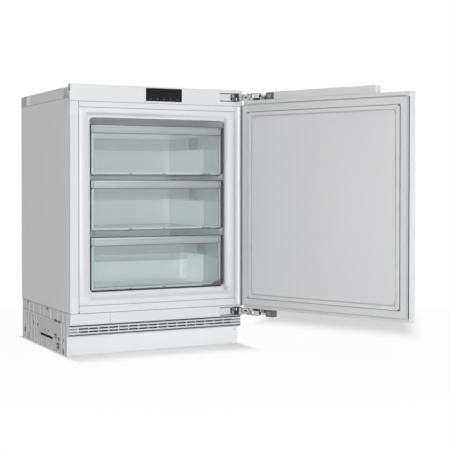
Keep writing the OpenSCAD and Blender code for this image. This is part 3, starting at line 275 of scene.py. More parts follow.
class Value:
    """A socket of a finish. Operators on it add the nodes that work the expression out."""

    def __init__(self, finish, socket):
        self.finish = finish
        self.socket = socket

    def maths(self, operation, *values):
        return self.finish.node("ShaderNodeMath", {"operation": operation}, values)

    def __add__(self, other):
        return self.maths("ADD", self, other)

    __radd__ = __add__

    def __sub__(self, other):
        return self.maths("SUBTRACT", self, other)

    def __rsub__(self, other):
        return self.maths("SUBTRACT", other, self)

    def __mul__(self, other):
        return self.maths("MULTIPLY", self, other)

    __rmul__ = __mul__

    def __truediv__(self, other):
        return self.maths("DIVIDE", self, other)

    def __gt__(self, other):
        return self.maths("GREATER_THAN", self, other)

    def __lt__(self, other):
        return self.maths("LESS_THAN", self, other)

    def size(self):
        return self.maths("ABSOLUTE", self)

    def at_least(self, other):
        return self.maths("MAXIMUM", self, other)

    def at_most(self, other):
        return self.maths("MINIMUM", self, other)

    def clamped(self):
        return self.at_least(0.0).at_most(1.0)

    def between(self, low, high):
        return (self > low) * (self < high)

    def within(self, low, high, fade, last=None):
        """One between two places, fading to none at both, over a length of its own at the last."""
        return ((self - low) / fade).clamped() * ((high - self) / (last or fade)).clamped()


class Finish:
    """A material, or the world, whose nodes are written as expressions."""

    def __init__(self, name, world=False):
        self.material = (bpy.data.worlds if world else bpy.data.materials).new(name)
        self.end = "ShaderNodeOutputWorld" if world else "ShaderNodeOutputMaterial"
        self.material.use_nodes = True
        self.tree = self.material.node_tree
        self.tree.nodes.clear()

    def put(self, socket, value):
        if isinstance(value, Value):
            self.tree.links.new(value.socket, socket)
        elif socket.type == "RGBA" and len(value) == 3:
            socket.default_value = (*value, 1.0)
        else:
            socket.default_value = value

    def node(self, kind, settings=None, values=(), output=0):
        """Any node: its settings first, then the values or links of its sockets."""
        made = self.tree.nodes.new(kind)
        for key, value in (settings or {}).items():
            if key == "stops":
                ramp = made.color_ramp
                while len(ramp.elements) < len(value):
                    ramp.elements.new(1.0)
                for element, (place, shade) in zip(ramp.elements, value):
                    element.position = place
                    element.color = (shade, shade, shade, 1)
            else:
                setattr(made, key, value)
        pairs = values.items() if isinstance(values, dict) else enumerate(values)
        for key, value in pairs:
            self.put(made.inputs[key], value)
        return Value(self, made.outputs[output])

    def place(self):
        """Where a point lies on the piece, in metres."""
        return self.node("ShaderNodeTexCoord", output="Object")

    def axis(self, letter):
        return self.node("ShaderNodeSeparateXYZ", values=[self.place()], output=letter)

    def depth(self):
        """How far a point lies behind the cabinet's front."""
        return self.axis("Y") - FRONT

    def stretched(self, x, y, z):
        """The place, scaled along each axis."""
        return self.node("ShaderNodeMapping", values={"Vector": self.place(), "Scale": (x, y, z)})

    def noise(self, scale, detail=3.0, roughness=0.5, where=None):
        values = {"Vector": where or self.place(), "Scale": scale, "Detail": detail, "Roughness": roughness}
        return self.node("ShaderNodeTexNoise", values=values)

    def drawn_lines(self):
        """Fine level lines, as drawing leaves them on steel."""
        return self.noise(90.0, 4.0, where=self.stretched(1.0, 1.0, 22.0))

    def blend(self, first, second, share):
        """A colour between two colours."""
        return self.node(
            "ShaderNodeMix", {"data_type": "RGBA"}, {0: share, 6: first, 7: second}, output=2
        )

    def toned(self, colour, low, high, share):
        """A colour that runs between two shares of its brightness."""
        return self.blend(darker(colour, low), darker(colour, high), share)

    def ramp(self, value, low, high, **settings):
        """None up to the low place and one from the high place on."""
        return self.node("ShaderNodeMapRange", settings, {"Value": value, "From Min": low, "From Max": high})

    def measured(self, operation, first, second):
        """A number worked out from two vectors."""
        return self.node("ShaderNodeVectorMath", {"operation": operation}, [first, second], output="Value")

    def marks(self, rows):
        """One inside small boxes on the sides, each at a depth and a height, with two half sizes."""
        depth, z = self.depth(), self.axis("Z")
        spots = (
            ((depth - along).size() / wide).at_least((z - up).size() / tall) < 1.0
            for along, up, wide, tall in rows
        )
        return sum(spots, 0.0).clamped() * self.sideways()

    def sideways(self):
        """One on faces that look to the left or right."""
        way = self.node("ShaderNodeNewGeometry", output="Normal")
        return self.node("ShaderNodeSeparateXYZ", values=[way], output="X").size() > 0.6

    def rays(self):
        """One for the camera's own rays and for what shows in gloss or through glass."""
        kinds = ("Is Camera Ray", "Is Glossy Ray", "Is Transmission Ray")
        return sum((self.node("ShaderNodeLightPath", output=kind) for kind in kinds), 0.0).clamped()

    def curve(self, value, stops):
        """A brightness that follows a value through the stops given."""
        low, high = stops[0][0], stops[-1][0]
        ramp = [((place - low) / (high - low), shade / 2) for place, shade in stops]
        share = ((value - low) / (high - low)).clamped()
        return self.node("ShaderNodeValToRGB", {"stops": ramp}, [share]) * 2

    def scaled(self, colour, share):
        """A colour made brighter or darker by a value."""
        values = {"Vector": colour, "Scale": share}
        return self.node("ShaderNodeVectorMath", {"operation": "SCALE"}, values, output="Vector")

    def soft_edges(self, radius):
        return self.node("ShaderNodeBevel", {"samples": 4}, {"Radius": radius})

    def relief(self, height, distance, strength=1.0, normal=None):
        values = {"Height": height, "Distance": distance, "Strength": strength}
        if normal is not None:
            values["Normal"] = normal
        return self.node("ShaderNodeBump", values=values)

    def grained(self, edge, grain=0.00002):
        """The fine grain and rounded edges of moulded plastic."""
        return self.relief(self.noise(1400.0, 2.0), grain, 0.6, self.soft_edges(edge))

    def shell(self, **values):
        """The material with the given sockets of a Principled shader as its surface."""
        names = {key.replace("_", " ").title().replace("Ior", "IOR"): value for key, value in values.items()}
        return self.closed(self.node("ShaderNodeBsdfPrincipled", values=names))

    def closed(self, surface):
        """The material or world, with its surface linked to its output."""
        end = self.tree.nodes.new(self.end)
        self.tree.links.new(surface.socket, end.inputs["Surface"])
        return self.material


def darker(colour, share):
    return tuple(channel * share for channel in colour)


def drawer_heights(level):
    """Where the dark gap beside a drawer starts and ends."""
    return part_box(level + "_drawer_tub")[0].z + 0.001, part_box(level + "_drawer_handle")[1].z - 0.001


def drawer_ledge(level):
    """The height from which a drawer's plastic is frosted."""
    low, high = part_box(level + "_drawer_tub")[0].z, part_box(level + "_drawer_handle")[1].z
    return low + LEDGE_SHARE * (high - low)


def door_move():
    """Carries a piece from the closed door to the open one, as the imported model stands."""
    swing = JOINTS["door_swing"]
    carry = JOINTS["door_on_link"]
    root, pin = Vector(swing["pos_m"]), Vector(carry["pos_m"])
    link = math.radians(swing["range_deg"][0])
    turn = -link - math.radians(carry["range_deg"][0])
    closed = root + Matrix.Rotation(link, 3, "Z") @ (pin - root)
    return Matrix.Translation(pin) @ Matrix.Rotation(turn, 4, "Z") @ Matrix.Translation(-closed)


# Finishes


def moulded(name, colour, roughness=0.27, edge=0.0012, grain=0.00002, dress=None):
    """Moulded plastic: a fine grain, a slight drift of tone and gloss, and what dress paints on it."""
    made = Finish(name)
    tone = made.toned(colour, 0.975, 1.025, made.noise(2.3, 2.0))
    return made.shell(
        base_color=dress(made, colour, tone) if dress else tone,
        roughness=roughness + 0.1 * made.noise(14.0, 4.0),
        normal=made.grained(edge, grain),
    )


def shadow(name):
    """The finish of a narrow gap, made once."""
    return bpy.data.materials.get(name) or moulded(name, *SHADOWS[name], 0.0003)


# Paints shade and light across the plinth
def paint_plinth_light(made, colour, tone):
    return made.scaled(tone, made.curve(made.axis("X"), PLINTH_PAINTED_LIGHT))


def clip_mouth(made, colour, tone):
    """The dark mouth of the end clip on the fascia's side."""
    clip, lower = (made.marks([row]) for row in CLIP_MARKS)
    return made.blend(tone, darker(colour, 0.07), clip + 0.5 * lower)


def paint_right_light(made, colour, tone):
    """Painted shade and highlight for the soft hollow beside the mouth and the crease along the right edge.
    """
    x = made.axis("X")
    beside = made.axis("Z").within(*MOUTH_HEIGHTS, SHADE_FADE)
    tone = made.scaled(tone, 1 + beside * (made.curve(x, RIGHT_PAINTED_LIGHT) - 1))
    return made.scaled(tone, made.curve(x, EDGE_PAINTED_LIGHT))


def paint_mouth_light(made, colour, tone):
    """The same, with painted shade and highlight for the crests over and under the mouth, and painted shade
    on the walls beside the drawers.
    """
    x, z = made.axis("X"), made.axis("Z")
    tone = paint_right_light(made, colour, tone)
    over = x.within(*TOP_SPAN, SHADE_FADE) * made.curve(x, TOP_FADE) * (z > TOP_PAINTED_LIGHT[0][0])
    under = x.within(*BOTTOM_SPAN, SHADE_FADE, CORNER_FADE) * (z < BOTTOM_PAINTED_LIGHT[-1][0])
    top = 1 + over * (made.curve(z, TOP_PAINTED_LIGHT) - 1)
    bottom = 1 + under * (made.curve(z, BOTTOM_PAINTED_LIGHT) - 1)
    drawers = sum((z.between(*drawer_heights(level)) for level in LEVELS), 0.0)
    # Painted shade on the mouth's walls beside the drawers
    walls = (made.depth() > SHADED_WALL_START) * made.sideways() * drawers
    return made.blend(made.scaled(tone, top * bottom), darker(colour, 0.06), 0.9 * walls)


def coated_steel(name, colour, roughness=0.36, uneven=0.12, shades=(0.955, 1.03), dress=None):
    """Coated sheet steel: orange peel, a faint vertical drift, and what dress paints on it."""
    made = Finish(name)
    drift = made.noise(1.0, 3.0, where=made.stretched(3.0, 3.0, 0.8))
    tone = made.toned(colour, *shades, drift)
    return made.shell(
        base_color=dress(made, colour, tone) if dress else tone,
        roughness=roughness + uneven * made.noise(9.0, 4.0),
        normal=made.relief(made.noise(420.0, 1.5), 0.00006, 0.5, made.soft_edges(0.001)),
    )


def side_hems(made, colour, tone):
    """Dark hems where the side panel meets the base and the rail."""
    z = made.axis("Z")
    hem = sum(((z - height).size() < half for height, half in SIDE_HEMS), 0.0)
    return made.blend(tone, darker(colour, 0.42), 0.85 * (hem * made.sideways()))


def rail_folds(made, colour, tone):
    """A hem along the side panel, a bright fold and a dark rear end."""
    depth, z, side = made.depth(), made.axis("Z"), made.sideways()
    seam = (depth - RAIL_SEAM).size() < RAIL_SEAM_HALF
    hem = ((z < RAIL_HEM_LOW) + (z > RAIL_HEM_HIGH) + seam).clamped()
    tone = made.blend(tone, (0.98, 0.98, 0.98), 0.9 * (depth.between(*RAIL_FOLD) * side))
    tone = made.blend(tone, darker(colour, 0.70), (depth > RAIL_END) * side)
    return made.blend(tone, darker(colour, 0.45), 0.8 * (hem * side))


def ribbed_block(name, colour):
    """Moulded end block: fine upright ribs with painted shade between them, darker towards the bottom, and a
    bright plate before its dark rear end.
    """
    made = Finish(name)
    y, depth = made.axis("Y"), made.depth()
    rib_wave_and_shade = y.maths("SINE", y * BLOCK_RIBS) * 0.5 + 0.5
    low = made.axis("Z") < BLOCK_LOW
    tone = made.toned(colour, 0.50, 1.02, (rib_wave_and_shade - 0.35 * low).clamped())
    end = made.blend(darker(colour, 0.60), WHITE, depth.between(*BLOCK_PLATE))
    return made.shell(
        base_color=made.blend(tone, end, 0.96 * (depth > BLOCK_END)),
        roughness=0.45 + 0.1 * made.noise(40.0),
        normal=made.relief(rib_wave_and_shade, 0.0006, 0.6),
    )


def base_plastic(name, colour):
    """Moulded base: raised ribs, painted shade in the recesses between them, dark marks and a dark upper
    seam.
    """
    made = Finish(name)
    z, side = made.axis("Z"), made.sideways()
    painted_recess_shade = ((RIB_FACE - made.axis("X").size()) / RIB_DEPTH).clamped()
    drift = made.noise(22.0, 3.0, where=made.stretched(1.0, 1.0, 0.3))
    ledge = (z - LEDGE_HEIGHT - LEDGE_RISE * made.depth()).size() < LEDGE_HALF
    seam = z > BASE_SEAM
    tone = made.toned(colour, 0.93, 1.12, drift)
    # Painted shade in the recesses between the ribs
    tone = made.blend(tone, darker(colour, 0.66), 0.9 * (painted_recess_shade * side))
    tone = made.blend(tone, darker(colour, 0.36), 0.7 * ((ledge + seam).clamped() * side))
    return made.shell(
        base_color=made.blend(tone, darker(colour, 0.10), made.marks(BASE_MARKS)),
        roughness=0.45 + 0.1 * drift,
        normal=made.grained(0.001, 0.00005),
    )


def painted_fold_shade(made, along, rows):
    """How dark the painted shade in folded hinge steel is at a place along it."""
    up = (made.axis("Z") - HINGES_MIDDLE).size()
    return sum((share * along.between(*span) * up.between(*heights) for share, span, heights in rows), 0.0)


def housing_painted_shade(made):
    return painted_fold_shade(made, made.axis("X"), HOUSING_PAINTED_SHADE)


def link_painted_shade(made):
    x = made.axis("X")
    return painted_fold_shade(made, x, LINK_PAINTED_SHADE) + painted_fold_shade(made, x, LINK_BACK_PAINTED_SHADE) * (made.depth() > LINK_BACK)


def arm_painted_shade(made):
    """The painted shade in a door bracket's folds, by the place along the closed door."""
    across = door_move().inverted()[0]
    return painted_fold_shade(made, made.measured("DOT_PRODUCT", made.place(), across[:3]) + across[3], ARM_PAINTED_SHADE)


def hinge_steel(name, colour, shade, rivets=()):
    """Zinc-plated hinge steel: painted shade where its layers fold over each other, and riveted ends with
    painted shade round and in each rivet.
    """
    made = Finish(name)
    lines = made.drawn_lines()
    dark = shade(made).clamped()
    for across, up in rivets:
        x, z = made.axis("X") - across, made.axis("Z") - up
        away = x.maths("SQRT", x * x + z * z)
        rim = away.between(RIVET_RADIUS - RIVET_RIM, RIVET_RADIUS)
        dark = (dark + rim + (away < RIVET_CORE)).clamped()
    return made.shell(
        base_color=made.blend(made.toned(colour, 0.84, 1.1, lines), darker(colour, 0.05), dark),
        metallic=0.6 - 0.5 * dark,
        roughness=0.30 + 0.2 * lines,
        normal=made.relief(lines, 0.00004, 0.5, made.soft_edges(0.0006)),
    )


def plated_steel(name, colour, roughness=0.22):
    """Zinc-plated pressed steel with fine spangle and drawn lines."""
    made = Finish(name)
    values = {"Vector": made.place(), "Scale": 260.0}
    spangle = made.node("ShaderNodeTexVoronoi", {"feature": "F1"}, values, output=1)
    lines = made.drawn_lines()
    spangled = made.blend(colour, spangle, 0.06)
    return made.shell(
        base_color=made.blend(darker(colour, 0.86), spangled, 0.35 + 0.65 * lines),
        metallic=0.9,
        roughness=roughness + 0.2 * lines,
        normal=made.relief(lines, 0.00004, 0.5, made.soft_edges(0.0008)),
    )


def brushed_strip(name, colour, low, high):
    """A brushed silver strip: a painted highlight band along its middle, painted shade along its upper and
    lower edges and a dark seam at each end cap.
    """
    made = Finish(name)
    lines = made.noise(60.0, 5.0, 0.6, where=made.stretched(0.5, 8.0, 22.0))
    across, z = made.axis("X").size(), made.axis("Z")
    rise = (z - low.z) / (high.z - low.z)
    # A painted highlight along the strip's middle
    band = 1 - (4.0 * (rise - 0.52).size()).clamped()
    cap = across.between(high.x - STRIP_CAP[0], high.x - STRIP_CAP[1])
    # Painted shade along the upper and lower edges, and the dark seam at each end cap
    rim = ((rise > 0.93) + (rise < 0.055) + 0.7 * cap).clamped()
    tone = (0.15 + 0.3 * lines + 0.25 * made.noise(9.0, 2.0) + 0.35 * band).clamped()
    return made.shell(
        base_color=made.blend(made.toned(colour, 0.82, 1.26, tone), darker(colour, 0.22), 0.85 * rim),
        metallic=0.6,
        roughness=0.42 + 0.14 * lines,
        normal=made.relief(lines, 0.00004, 0.5, made.soft_edges(0.0006)),
    )


def clear_plastic(name, colour, ledge, front, veil, body):
    """Clear moulded plastic: frosted over its ledge and near its front, with a painted glow in its clear
    parts, stronger in its right part.
    """
    made = Finish(name)
    flow = made.noise(7.0, 3.0, where=made.stretched(1.0, 1.0, 2.5))
    y = made.axis("Y")
    high = made.ramp(made.axis("Z"), ledge - LEDGE_FADE, ledge + LEDGE_FADE)
    near = made.ramp(y, front + FROST_START, front + FROST_END)
    inside = y > front + FRONT_DEPTH
    frosted = (high + near).clamped() * inside
    clear = (1 - high) * inside
    tinted = made.toned(colour, 0.98 - 0.6 * body, 1.02 - 0.6 * body, flow)
    right = made.axis("X") > PAINTED_GLOW_RIGHT
    # A painted glow: emission that stands in for light, in the clear parts and stronger in the right part
    glow = clear * (0.22 - 0.09 * body + (0.62 - 1.35 * body) * right) * (1 - 0.86 * near)
    return made.shell(
        base_color=made.blend(tinted, darker(colour, 0.50 + 0.5 * body), 0.85 * frosted),
        emission_color=made.scaled(darker(colour, 1.2), glow),
        emission_strength=1.0,
        roughness=0.12 + 0.1 * flow + 0.2 * frosted,
        alpha=0.25 - 0.16 * inside + 0.03 * flow + veil * frosted + body * clear,
        normal=made.relief(flow, 0.0004, 0.3),
        ior=1.49,
    )


def plastic_rim(name, colour, edge):
    """The rim of a clear front: light on its face, with painted shade along its edges and along a fold near
    its right edge.
    """
    made = Finish(name)
    flow = made.noise(30.0, 3.0)
    x = made.axis("X")
    # Painted shade along the rim's edges, and a painted dark line along the fold near its right edge
    painted_fold_line = x.between(edge - RIM_FOLD[0], edge - RIM_FOLD[1])
    deep = 0.6 * (x.size() > edge - RIM_EDGE) + 0.55 * painted_fold_line
    return made.shell(
        base_color=made.blend(made.toned(colour, 0.95, 1.05, flow), (0.04, 0.045, 0.045), deep.clamped()),
        roughness=0.16 + 0.08 * flow,
        alpha=0.45 + 0.05 * flow + 0.4 * deep,
        normal=made.relief(flow, 0.0002, 0.3),
        ior=1.49,
    )


def frosted_grip(name, colour, start):
    """Frosted plastic of a grip pocket, denser and darker with painted shade towards its rear end."""
    made = Finish(name)
    grain = made.noise(900.0, 2.0)
    frost_and_shade = ((made.axis("Y") - start) / GRIP_FADE).clamped()
    return made.shell(
        base_color=made.toned(colour, 0.34, 0.16, frost_and_shade),
        roughness=0.45 + 0.1 * grain,
        alpha=0.50 + 0.40 * frost_and_shade,
        normal=made.relief(grain, 0.00005, 0.6),
    )


def float_glass(name, colour):
    """Float glass: clear from above, green along its edges."""
    made = Finish(name)
    fresnel = made.node("ShaderNodeFresnel", values=[1.5])
    way = made.node("ShaderNodeNewGeometry", output="Normal")
    edge = 1 - made.measured("DOT_PRODUCT", way, (0, 0, 1)).size()
    return made.shell(
        base_color=made.blend(colour, (0.16, 0.24, 0.225), edge),
        roughness=0.05 + 0.03 * made.noise(20.0),
        alpha=(0.05 + 0.5 * edge + 0.3 * fresnel).clamped(),
        normal=made.soft_edges(0.0006),
        ior=1.5,
    )


def rubber(name, colour):
    """Soft extruded rubber."""
    made = Finish(name)
    grain = made.noise(700.0, 3.0)
    return made.shell(
        base_color=made.toned(colour, 0.9, 1.05, made.noise(25.0)),
        roughness=0.54 + 0.16 * grain,
        normal=made.relief(grain, 0.00005, 0.7),
        specular_ior_level=0.35,
    )


def painted_iron(name, colour):
    """Sprayed paint with runs and fine dust."""
    made = Finish(name)
    dust = made.noise(60.0, 6.0, 0.7)
    return made.shell(
        base_color=made.blend(colour, (0.10, 0.10, 0.10), 0.35 * dust),
        roughness=0.38 + 0.25 * dust,
        normal=made.relief(made.noise(300.0), 0.0001, 0.6, made.soft_edges(0.0008)),
    )


def copper(name, colour):
    """Drawn copper with dull patches of oxide."""
    made = Finish(name)
    oxide = made.noise(45.0, 5.0, 0.6)
    return made.shell(
        base_color=made.blend(colour, (0.28, 0.13, 0.08), oxide.maths("POWER", oxide, 3.0)),
        metallic=1.0,
        roughness=0.22 + 0.3 * oxide,
        normal=made.relief(made.noise(500.0), 0.00003, 0.5),
    )


def insulation(name, colour):
    """Rigid foam with its cells."""
    made = Finish(name)
    cells = made.node("ShaderNodeTexVoronoi", values={"Vector": made.place(), "Scale": 500.0})
    return made.shell(
        base_color=made.toned(colour, 0.8, 1.0, cells),
        roughness=0.9 - 0.1 * cells,
        normal=made.relief(cells, 0.0006),
    )


def board(name):
    """Lacquered circuit board with its tracks."""
    made = Finish(name)
    values = {"Vector": made.place(), "Scale": 90.0, "Mortar Size": 0.03}
    tracks = made.node("ShaderNodeTexBrick", values=values, output="Fac")
    return made.shell(
        base_color=made.blend((0.02, 0.13, 0.05), (0.10, 0.30, 0.14), tracks),
        roughness=0.35 + 0.15 * tracks,
        normal=made.relief(tracks, 0.0001),
    )


def black_glass(name):
    """Glossy black glass with a soft, slightly lighter lower edge."""
    made = Finish(name)
    low, high = (corner.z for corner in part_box("display_panel"))
    rise = ((made.axis("Z") - low) / (high - low)).clamped()
    return made.shell(
        base_color=made.blend((0.016, 0.016, 0.018), (0.009, 0.009, 0.010), rise),
        roughness=0.10 + 0.06 * made.noise(30.0),
        normal=made.soft_edges(0.0006),
        specular_ior_level=0.14,
    )


def lit_mark(name):
    """A faintly lit mark behind the display's glass."""
    made = Finish(name)
    glow = made.noise(900.0)
    return made.shell(
        base_color=made.blend((0.14, 0.15, 0.16), (0.28, 0.29, 0.31), glow),
        emission_color=made.blend((0.20, 0.21, 0.23), (0.34, 0.36, 0.38), glow),
        emission_strength=0.25,
        roughness=0.4 + 0.1 * glow,
    )


# Shapes


def arc(across, up, radius, start, turn, steps):
    """Points round a centre, from an angle through a turn, both in degrees."""
    angles = [math.radians(start + turn * step / steps) for step in range(steps + 1)]
    return [(across + radius * math.cos(angle), up + radius * math.sin(angle)) for angle in angles]


def rounded(half, low, high, radius, y, steps=8):
    """Points of a rounded rectangle in the plane at y, counter-clockwise seen from the front."""
    side, bottom, top = half - radius, low + radius, high - radius
    points = []
    for corner, (x, z) in enumerate([(side, bottom), (side, top), (-side, top), (-side, bottom)]):
        points += [(px, y, pz) for px, pz in arc(x, z, radius, 90 * corner - 90, 90, steps)]
    return points


def bay(half, front, back, radius, z):
    """Points along a drawer's left, rear and right wall at the height z."""
    turns = arc(radius - half, back - radius, radius, 180, -90, 6)
    turns += arc(half - radius, back - radius, radius, 90, -90, 6)
    return [(x, y, z) for x, y in [(-half, front), *turns, (half, front)]]


def loft(shape, loops, first=True, last=True, ring=False, whole=True):
    """A skin over loops of as many points each: capped or a ring, its loops whole or open."""
    rows = [[shape.verts.new(point) for point in loop] for loop in loops]
    pairs = list(zip(rows, rows[1:]))
    if ring:
        pairs.append((rows[-1], rows[0]))
    for here, there in pairs:
        for k in range(len(here) if whole else len(here) - 1):
            n = (k + 1) % len(here)
            shape.faces.new((here[k], here[n], there[n], there[k]))
    if first and not ring:
        shape.faces.new(rows[0][::-1])
    if last and not ring:
        shape.faces.new(rows[-1])


def slab(shape, low, high):
    """A box between two corners."""
    for vert in bmesh.ops.create_cube(shape, size=1.0)["verts"]:
        vert.co = [low[k] + (vert.co[k] + 0.5) * (high[k] - low[k]) for k in range(3)]


def band(shape, half, low, high, wide, near, far, radius=0.002):
    """A flat rounded frame between two depths, its width inward from its edge."""
    inner = (half - wide, low + wide, high - wide, radius * 0.6)
    outer = (half, low, high, radius)
    sides = ((outer, near), (outer, far), (inner, far), (inner, near))
    loft(shape, [rounded(*edge, y, 3) for edge, y in sides], ring=True)


def piece(name, shape, body, slot, finish, stands_for=(), smooth=35.0, edge=0.0, steps=2, move=None):
    """An object from a shape: rounded, finished, and riding on its body."""
    bmesh.ops.recalc_face_normals(shape, faces=shape.faces)
    mesh = bpy.data.meshes.new(name)
    shape.to_mesh(mesh)
    shape.free()
    if move is not None:
        mesh.transform(move)
    mesh.shade_smooth()
    mesh.set_sharp_from_angle(angle=math.radians(smooth))
    made = bpy.data.objects.new(name, mesh)
    bpy.context.scene.collection.objects.link(made)
    if edge:
        bevel = made.modifiers.new("Edges", "BEVEL")
        bevel.width = edge
        bevel.segments = steps
        bevel.limit_method = "ANGLE"
        bevel.angle_limit = math.radians(40)
        bevel.harden_normals = True
    mesh.materials.append(finish)
    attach(made, body)
    if stands_for:
        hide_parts(*stands_for)


def line_piece(name, shape, body, finish, slot="dark_plastic", move=None):
    """A thin line or fold on a face, with barely broken edges."""
    piece(name, shape, body, slot, finish, smooth=30, edge=0.0001, steps=1, move=move)


def finish_nodes(finish, *nodes):
    """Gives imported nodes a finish."""
    for name in nodes:
        for each in frame["nodes"][name].material_slots:
            each.material = finish


def closed_box(node):
    """A door node's lowest and highest corners with the door closed."""
    back = door_move().inverted()
    places = [back @ vert.co for vert in frame["nodes"][node].data.vertices]
    return [Vector(pick(place[k] for place in places) for k in range(3)) for pick in (min, max)]


# Operators


class FREEZER_OT_stage(bpy.types.Operator):
    """Pale floor, soft lamps, white surroundings and the camera"""

    bl_idname = "freezer.stage"
    bl_label = "Stage"

    def execute(self, context):
        shape = bmesh.new()
        slab(shape, (-FLOOR_REACH, -FLOOR_REACH, -FLOOR_THICKNESS), (FLOOR_REACH, FLOOR_REACH, 0))
        mesh = bpy.data.meshes.new("floor")
        shape.to_mesh(mesh)
        shape.free()
        mesh.materials.append(self.pale_floor())
        floor = self.put(context, "floor", mesh)
        context.scene.world = self.surroundings()
        for name, spot, aim, side, power in LAMPS:
            lamp = bpy.data.lights.new(name, "AREA")
            lamp.shape = "SQUARE"
            lamp.size = side
            lamp.energy = power
            lamp.color = WHITE
            holder = self.put(context, name, lamp)
            holder.location = spot
            way = Vector(aim) - Vector(spot)
            holder.rotation_euler = way.to_track_quat("-Z", "Y").to_euler()
        lens = bpy.data.cameras.new("camera")
        lens.sensor_width = SENSOR
        lens.lens = FOCAL_LENGTH / PHOTO_SIDE * SENSOR
        lens.shift_x = (PHOTO_SIDE / 2 - AHEAD_PIXEL[0]) / PHOTO_SIDE
        lens.shift_y = (AHEAD_PIXEL[1] - PHOTO_SIDE / 2) / PHOTO_SIDE
        lens.clip_end = EYE_REACH
        eye = self.put(context, "camera", lens)
        eye.location = EYE
        eye.rotation_euler = (math.radians(90 - EYE_DIP), 0, math.radians(EYE_TURN))
        context.scene.camera = eye
        context.scene.view_settings.view_transform = "Standard"
        return {"FINISHED"}

    def put(self, context, name, data):
        made = bpy.data.objects.new(name, data)
        context.scene.collection.objects.link(made)
        return made

    def pale_floor(self):
        """White away from the object, and plain floor with its shadow near it."""
        pale = Finish("pale_floor")
        across, y, depth = pale.axis("X"), pale.axis("Y"), pale.depth()
        aside = (SIDE_SQUEEZE * (across.size() - HALF_WIDTH).at_least(y + FRONT)).at_least(0.0)
        before = (UNDER_PLINTH - depth).at_least(0.0)
        apart = aside.maths("SQRT", aside * aside + before * before)
        past = DOOR_ACROSS[0] * across + DOOR_ACROSS[1] * depth
        along = DOOR_ALONG[0] * across + DOOR_ALONG[1] * depth

        def soft(value, limits):
            return pale.ramp(value, *limits, interpolation_type="SMOOTHSTEP")

        outside = soft(past, DOOR_NEAR).at_least(soft(past, DOOR_PAST))
        outside = outside.at_least(soft((along - DOOR_MIDDLE).size(), DOOR_END))
        away = soft(apart, NEAR_SHADOW).at_most(outside)
        distant = soft(pale.measured("DISTANCE", pale.place(), FLOOR_CENTRE), FLOOR_FAR)
        near = pale.blend(*FLOOR_TONES, pale.noise(3.0))
        spread = pale.node("ShaderNodeLightPath", output="Is Diffuse Ray")
        matt = pale.node("ShaderNodeBsdfPrincipled", values={
            "Base Color": pale.blend(near, FLOOR_LIGHT_TONE, spread),
            "Roughness": 1.0,
            "Specular IOR Level": 0.0,
        })
        white = pale.node("ShaderNodeEmission", values={"Color": WHITE, "Strength": 1.0})
        least, more, last = FLOOR_WHITE
        share = pale.rays() * (least + more * away + last * distant)
        return pale.closed(pale.node("ShaderNodeMixShader", values=[share, matt, white]))

    def surroundings(self):
        """White to the eye, and dimmer as light on the object."""
        made = Finish("surroundings", world=True)
        dim, full = (
            made.node("ShaderNodeBackground", values={"Color": WHITE, "Strength": strength})
            for strength in (WORLD_LIGHT, 1.0)
        )
        return made.closed(made.node("ShaderNodeMixShader", values=[made.rays(), dim, full]))


